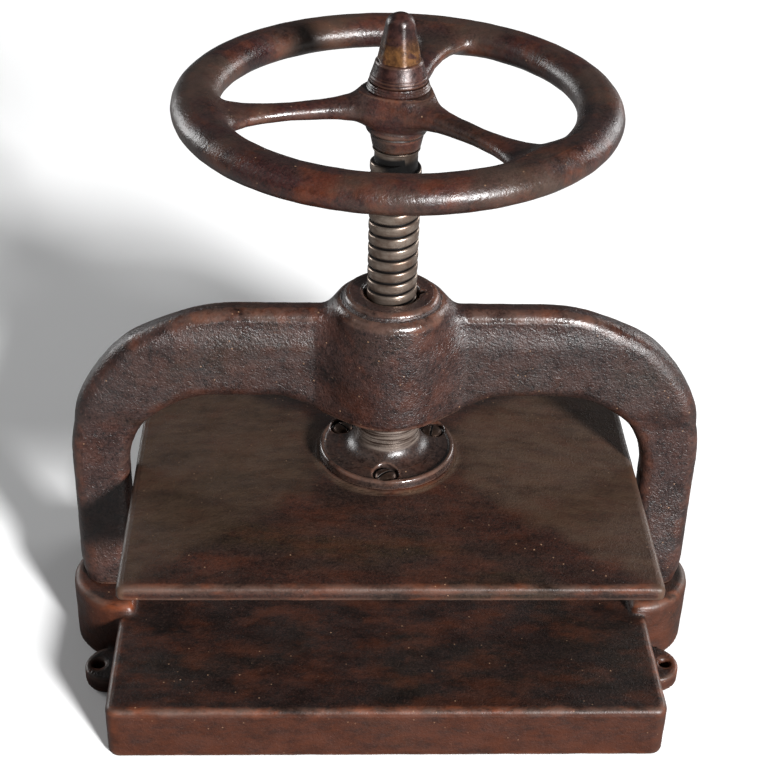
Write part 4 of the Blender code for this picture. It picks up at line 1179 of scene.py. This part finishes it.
def finial_bronze():
    """Browned bronze: dark red-brown and glossy, with amber showing low down on the flats."""
    look = Recipe("finial_bronze")
    height = look.height()
    cloud = look.noise(0.006, 6.0, 0.65)
    blotch = look.noise(0.009, 5.0, 0.6, distortion=0.8)
    brown = look.mix(look.between(cloud, 0.38, 0.66), tone(28, 13, 12), tone(58, 32, 27))
    amber = look.mix(look.between(cloud, 0.40, 0.62), tone(60, 37, 18), tone(100, 66, 32))
    low_flats = look.times(look.between(height, FLATS_TOP, FLATS_BOTTOM + 6.0 * MM),
                           look.between(height, FLATS_BOTTOM - 0.6 * MM, FLATS_BOTTOM + 0.4 * MM))
    shown = look.times(low_flats, look.between(blotch, 0.38, 0.50, 0.05, 0.9))
    colour = look.mix(shown, brown, amber)
    colour = look.over(colour, tone(104, 72, 54), look.attribute("wear"), 0.4, 1.0, 0.25)
    # Painted shade: the finial's hollows are darkened towards near-black
    colour = look.over(colour, tone(12, 7, 6), look.attribute("hollow"), 0.2, 0.8, 0.5)
    relief = look.bump(look.noise(0.0016, 4.0, 0.6), 0.12 * MM)
    relief = look.bump(look.noise(0.006, 3.0), 0.25 * MM, relief)
    return look.finish(colour, look.between(cloud, 0.3, 0.7, 0.30, 0.46), relief, 0.2)


def make_materials():
    """One look for each of the record's material slots, with its screen colours."""
    bed_browns = ((12, 6, 5), (37, 16, 10), (25, 16, 13), (27, 18, 10))
    platen_browns = ((18, 9, 7), (46, 21, 13), (35, 23, 18), (37, 26, 14))
    arch_browns = ((15, 8, 8), (41, 23, 20), (50, 35, 32), (42, 30, 23))
    flange_browns = ((20, 13, 12), (36, 24, 21), (48, 37, 33), (36, 29, 23))
    wheel_browns = ((20, 9, 10), (46, 18, 17), (42, 28, 26), (42, 26, 18))
    steel = ((160, 146, 134), (106, 89, 78), (14, 9, 8))
    fixing = ((92, 74, 64), (52, 39, 33), (8, 5, 4))
    bronze = ((150, 116, 76), (104, 76, 48), (18, 12, 8))
    return {
        "bed_iron": bed_iron(bed_browns),
        "arch_iron": Iron("arch_iron", arch_browns, 0.3, 1.2 * MM, 0.38 * MM, (0.30, 0.45)).done(),
        "platen_iron": platen_iron(platen_browns),
        "flange_iron": flange_iron(flange_browns),
        "wheel_iron": wheel_iron(wheel_browns),
        "screw_steel": worn_steel("screw_steel", steel, (0.26, 0.42)),
        "fixing_steel": worn_steel("fixing_steel", fixing, (0.26, 0.42), marks=ALL_WAYS),
        "nut_bronze": worn_steel("nut_bronze", bronze, (0.34, 0.5)),
        "finial_bronze": finial_bronze(),
    }


# ---- Stage, light and camera

def make_floor():
    """A floor that looks nearly white, and throws little light back up at the iron."""
    half = 8.0
    corners = [(-half, -half, 0.0), (half, -half, 0.0), (half, half, 0.0), (-half, half, 0.0)]
    mesh = bpy.data.meshes.new("floor")
    mesh.from_pydata(corners, [], [(0, 1, 2, 3)])
    look = Recipe("pale_floor")
    colour = look.ramp(look.noise(0.35, 3.0), (0.3, plain_grey(0.93)), (0.7, plain_grey(0.96)))
    seen = look.node("ShaderNodeLightPath").outputs["Is Camera Ray"]
    colour = look.mix(seen, plain_grey(0.24), colour)
    mesh.materials.append(look.finish(colour, 0.9, look.bump(look.noise(0.002), 0.02 * MM)))
    in_scene("floor", mesh)


def add_light(name, heading, lift, distance, size, power):
    """A round light aimed at the press, heading degrees right of the front and lift degrees up."""
    around = radians(heading)
    up = radians(lift)
    aim = Vector((0.0, 0.0, 0.18))
    away = Vector((sin(around) * cos(up), -cos(around) * cos(up), sin(up)))
    data = bpy.data.lights.new(name, "AREA")
    data.shape = "DISK"
    data.size = size
    data.energy = power
    lamp = in_scene(name, data)
    lamp.location = aim + away * distance
    lamp.rotation_euler = away.to_track_quat("Z", "Y").to_euler()
    lamp.visible_camera = False


def light_studio():
    """A key from the front right, a faint fill, two low rear lights and a surround that is seen pale."""
    add_light("key", 31.0, 20.0, 9.0, 1.35, 2300.0)
    add_light("fill", -75.0, 40.0, 3.0, 1.8, 3.0)
    add_light("rear_left", 232.0, 14.0, 5.0, 2.2, 110.0)
    add_light("rear_right", 128.0, 14.0, 5.0, 2.2, 90.0)
    world = bpy.data.worlds.new("studio")
    world.use_nodes = True
    tree = world.node_tree
    around = tree.nodes["Background"]
    around.inputs["Color"].default_value = (0.96, 0.98, 1.0, 1.0)
    around.inputs["Strength"].default_value = 0.09
    seen = tree.nodes.new("ShaderNodeBackground")
    seen.inputs["Color"].default_value = plain_grey(0.95)
    mixer = tree.nodes.new("ShaderNodeMixShader")
    path = tree.nodes.new("ShaderNodeLightPath")
    tree.links.new(path.outputs["Is Camera Ray"], mixer.inputs["Fac"])
    tree.links.new(around.outputs["Background"], mixer.inputs[1])
    tree.links.new(seen.outputs["Background"], mixer.inputs[2])
    tree.links.new(mixer.outputs["Shader"], tree.nodes["World Output"].inputs["Surface"])
    bpy.context.scene.world = world
    bpy.context.scene.view_settings.view_transform = "Standard"


def add_camera():
    data = bpy.data.cameras.new("camera")
    data.lens = CAMERA_LENS
    data.sensor_width = 36.0
    camera = in_scene("camera", data)
    turn = Matrix.Rotation(-CAMERA_YAW, 4, "Z")
    turn = turn @ Matrix.Rotation(pi / 2.0 - CAMERA_PITCH, 4, "X")
    turn = turn @ Matrix.Rotation(CAMERA_ROLL, 4, "Z")
    camera.matrix_world = Matrix.Translation(CAMERA_SPOT) @ turn
    bpy.context.scene.camera = camera


# ---- Assembly

def build_press():
    looks = make_materials()

    def add(piece, body, slot, node):
        """Give a piece the look of its slot and the body that it rides on, and hide the node that it stands
        for.
        """
        piece.data.materials.append(looks[slot])
        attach(piece, body)
        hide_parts(node)

    add(make_bed(), "frame", "bed_iron", "base")
    add(make_arch(), "frame", "arch_iron", "arch")
    bush = soft_ring("threaded_bush", "spindle_nut", SCREW_RADIUS + THREAD_CLEARANCE)
    add(bush, "frame", "nut_bronze", "spindle_nut")
    add(make_lock_screw(), "frame", "fixing_steel", "nut_lock_screw")
    for word in ("left", "right"):
        add(make_foot_bolt(word), "frame", "fixing_steel", "foot_bolt_" + word)
        node = "foot_washer_" + word
        washer = soft_ring("leg_washer_" + word, node, FOOT_BOLT_RADIUS + CLEARANCE)
        add(washer, "frame", "fixing_steel", node)
    add(make_platen(), "platen", "platen_iron", "platen")
    add(make_flange(), "platen", "flange_iron", "retaining_flange")
    for number, heading in enumerate(SLOT_HEADINGS, start=1):
        node = "flange_screw_%d" % number
        add(make_flange_screw(node, heading), "platen", "fixing_steel", node)
    add(make_thrust_disc(), "platen", "fixing_steel", "thrust_button")
    add(make_screw(), "spindle", "screw_steel", "spindle")
    collar = soft_ring("pinned_collar", "thrust_collar", STEM_RADIUS + CLEARANCE)
    add(collar, "spindle", "fixing_steel", "thrust_collar")
    add(make_collar_pin(), "spindle", "fixing_steel", "collar_pin")
    add(make_wheel(), "spindle", "wheel_iron", "handwheel")
    add(make_key(), "spindle", "fixing_steel", "wheel_key")
    add(make_hub_washer(), "spindle", "wheel_iron", "hub_washer")
    add(make_finial(), "spindle", "finial_bronze", "finial_nut")


add_camera()
make_floor()
light_studio()
build_press()
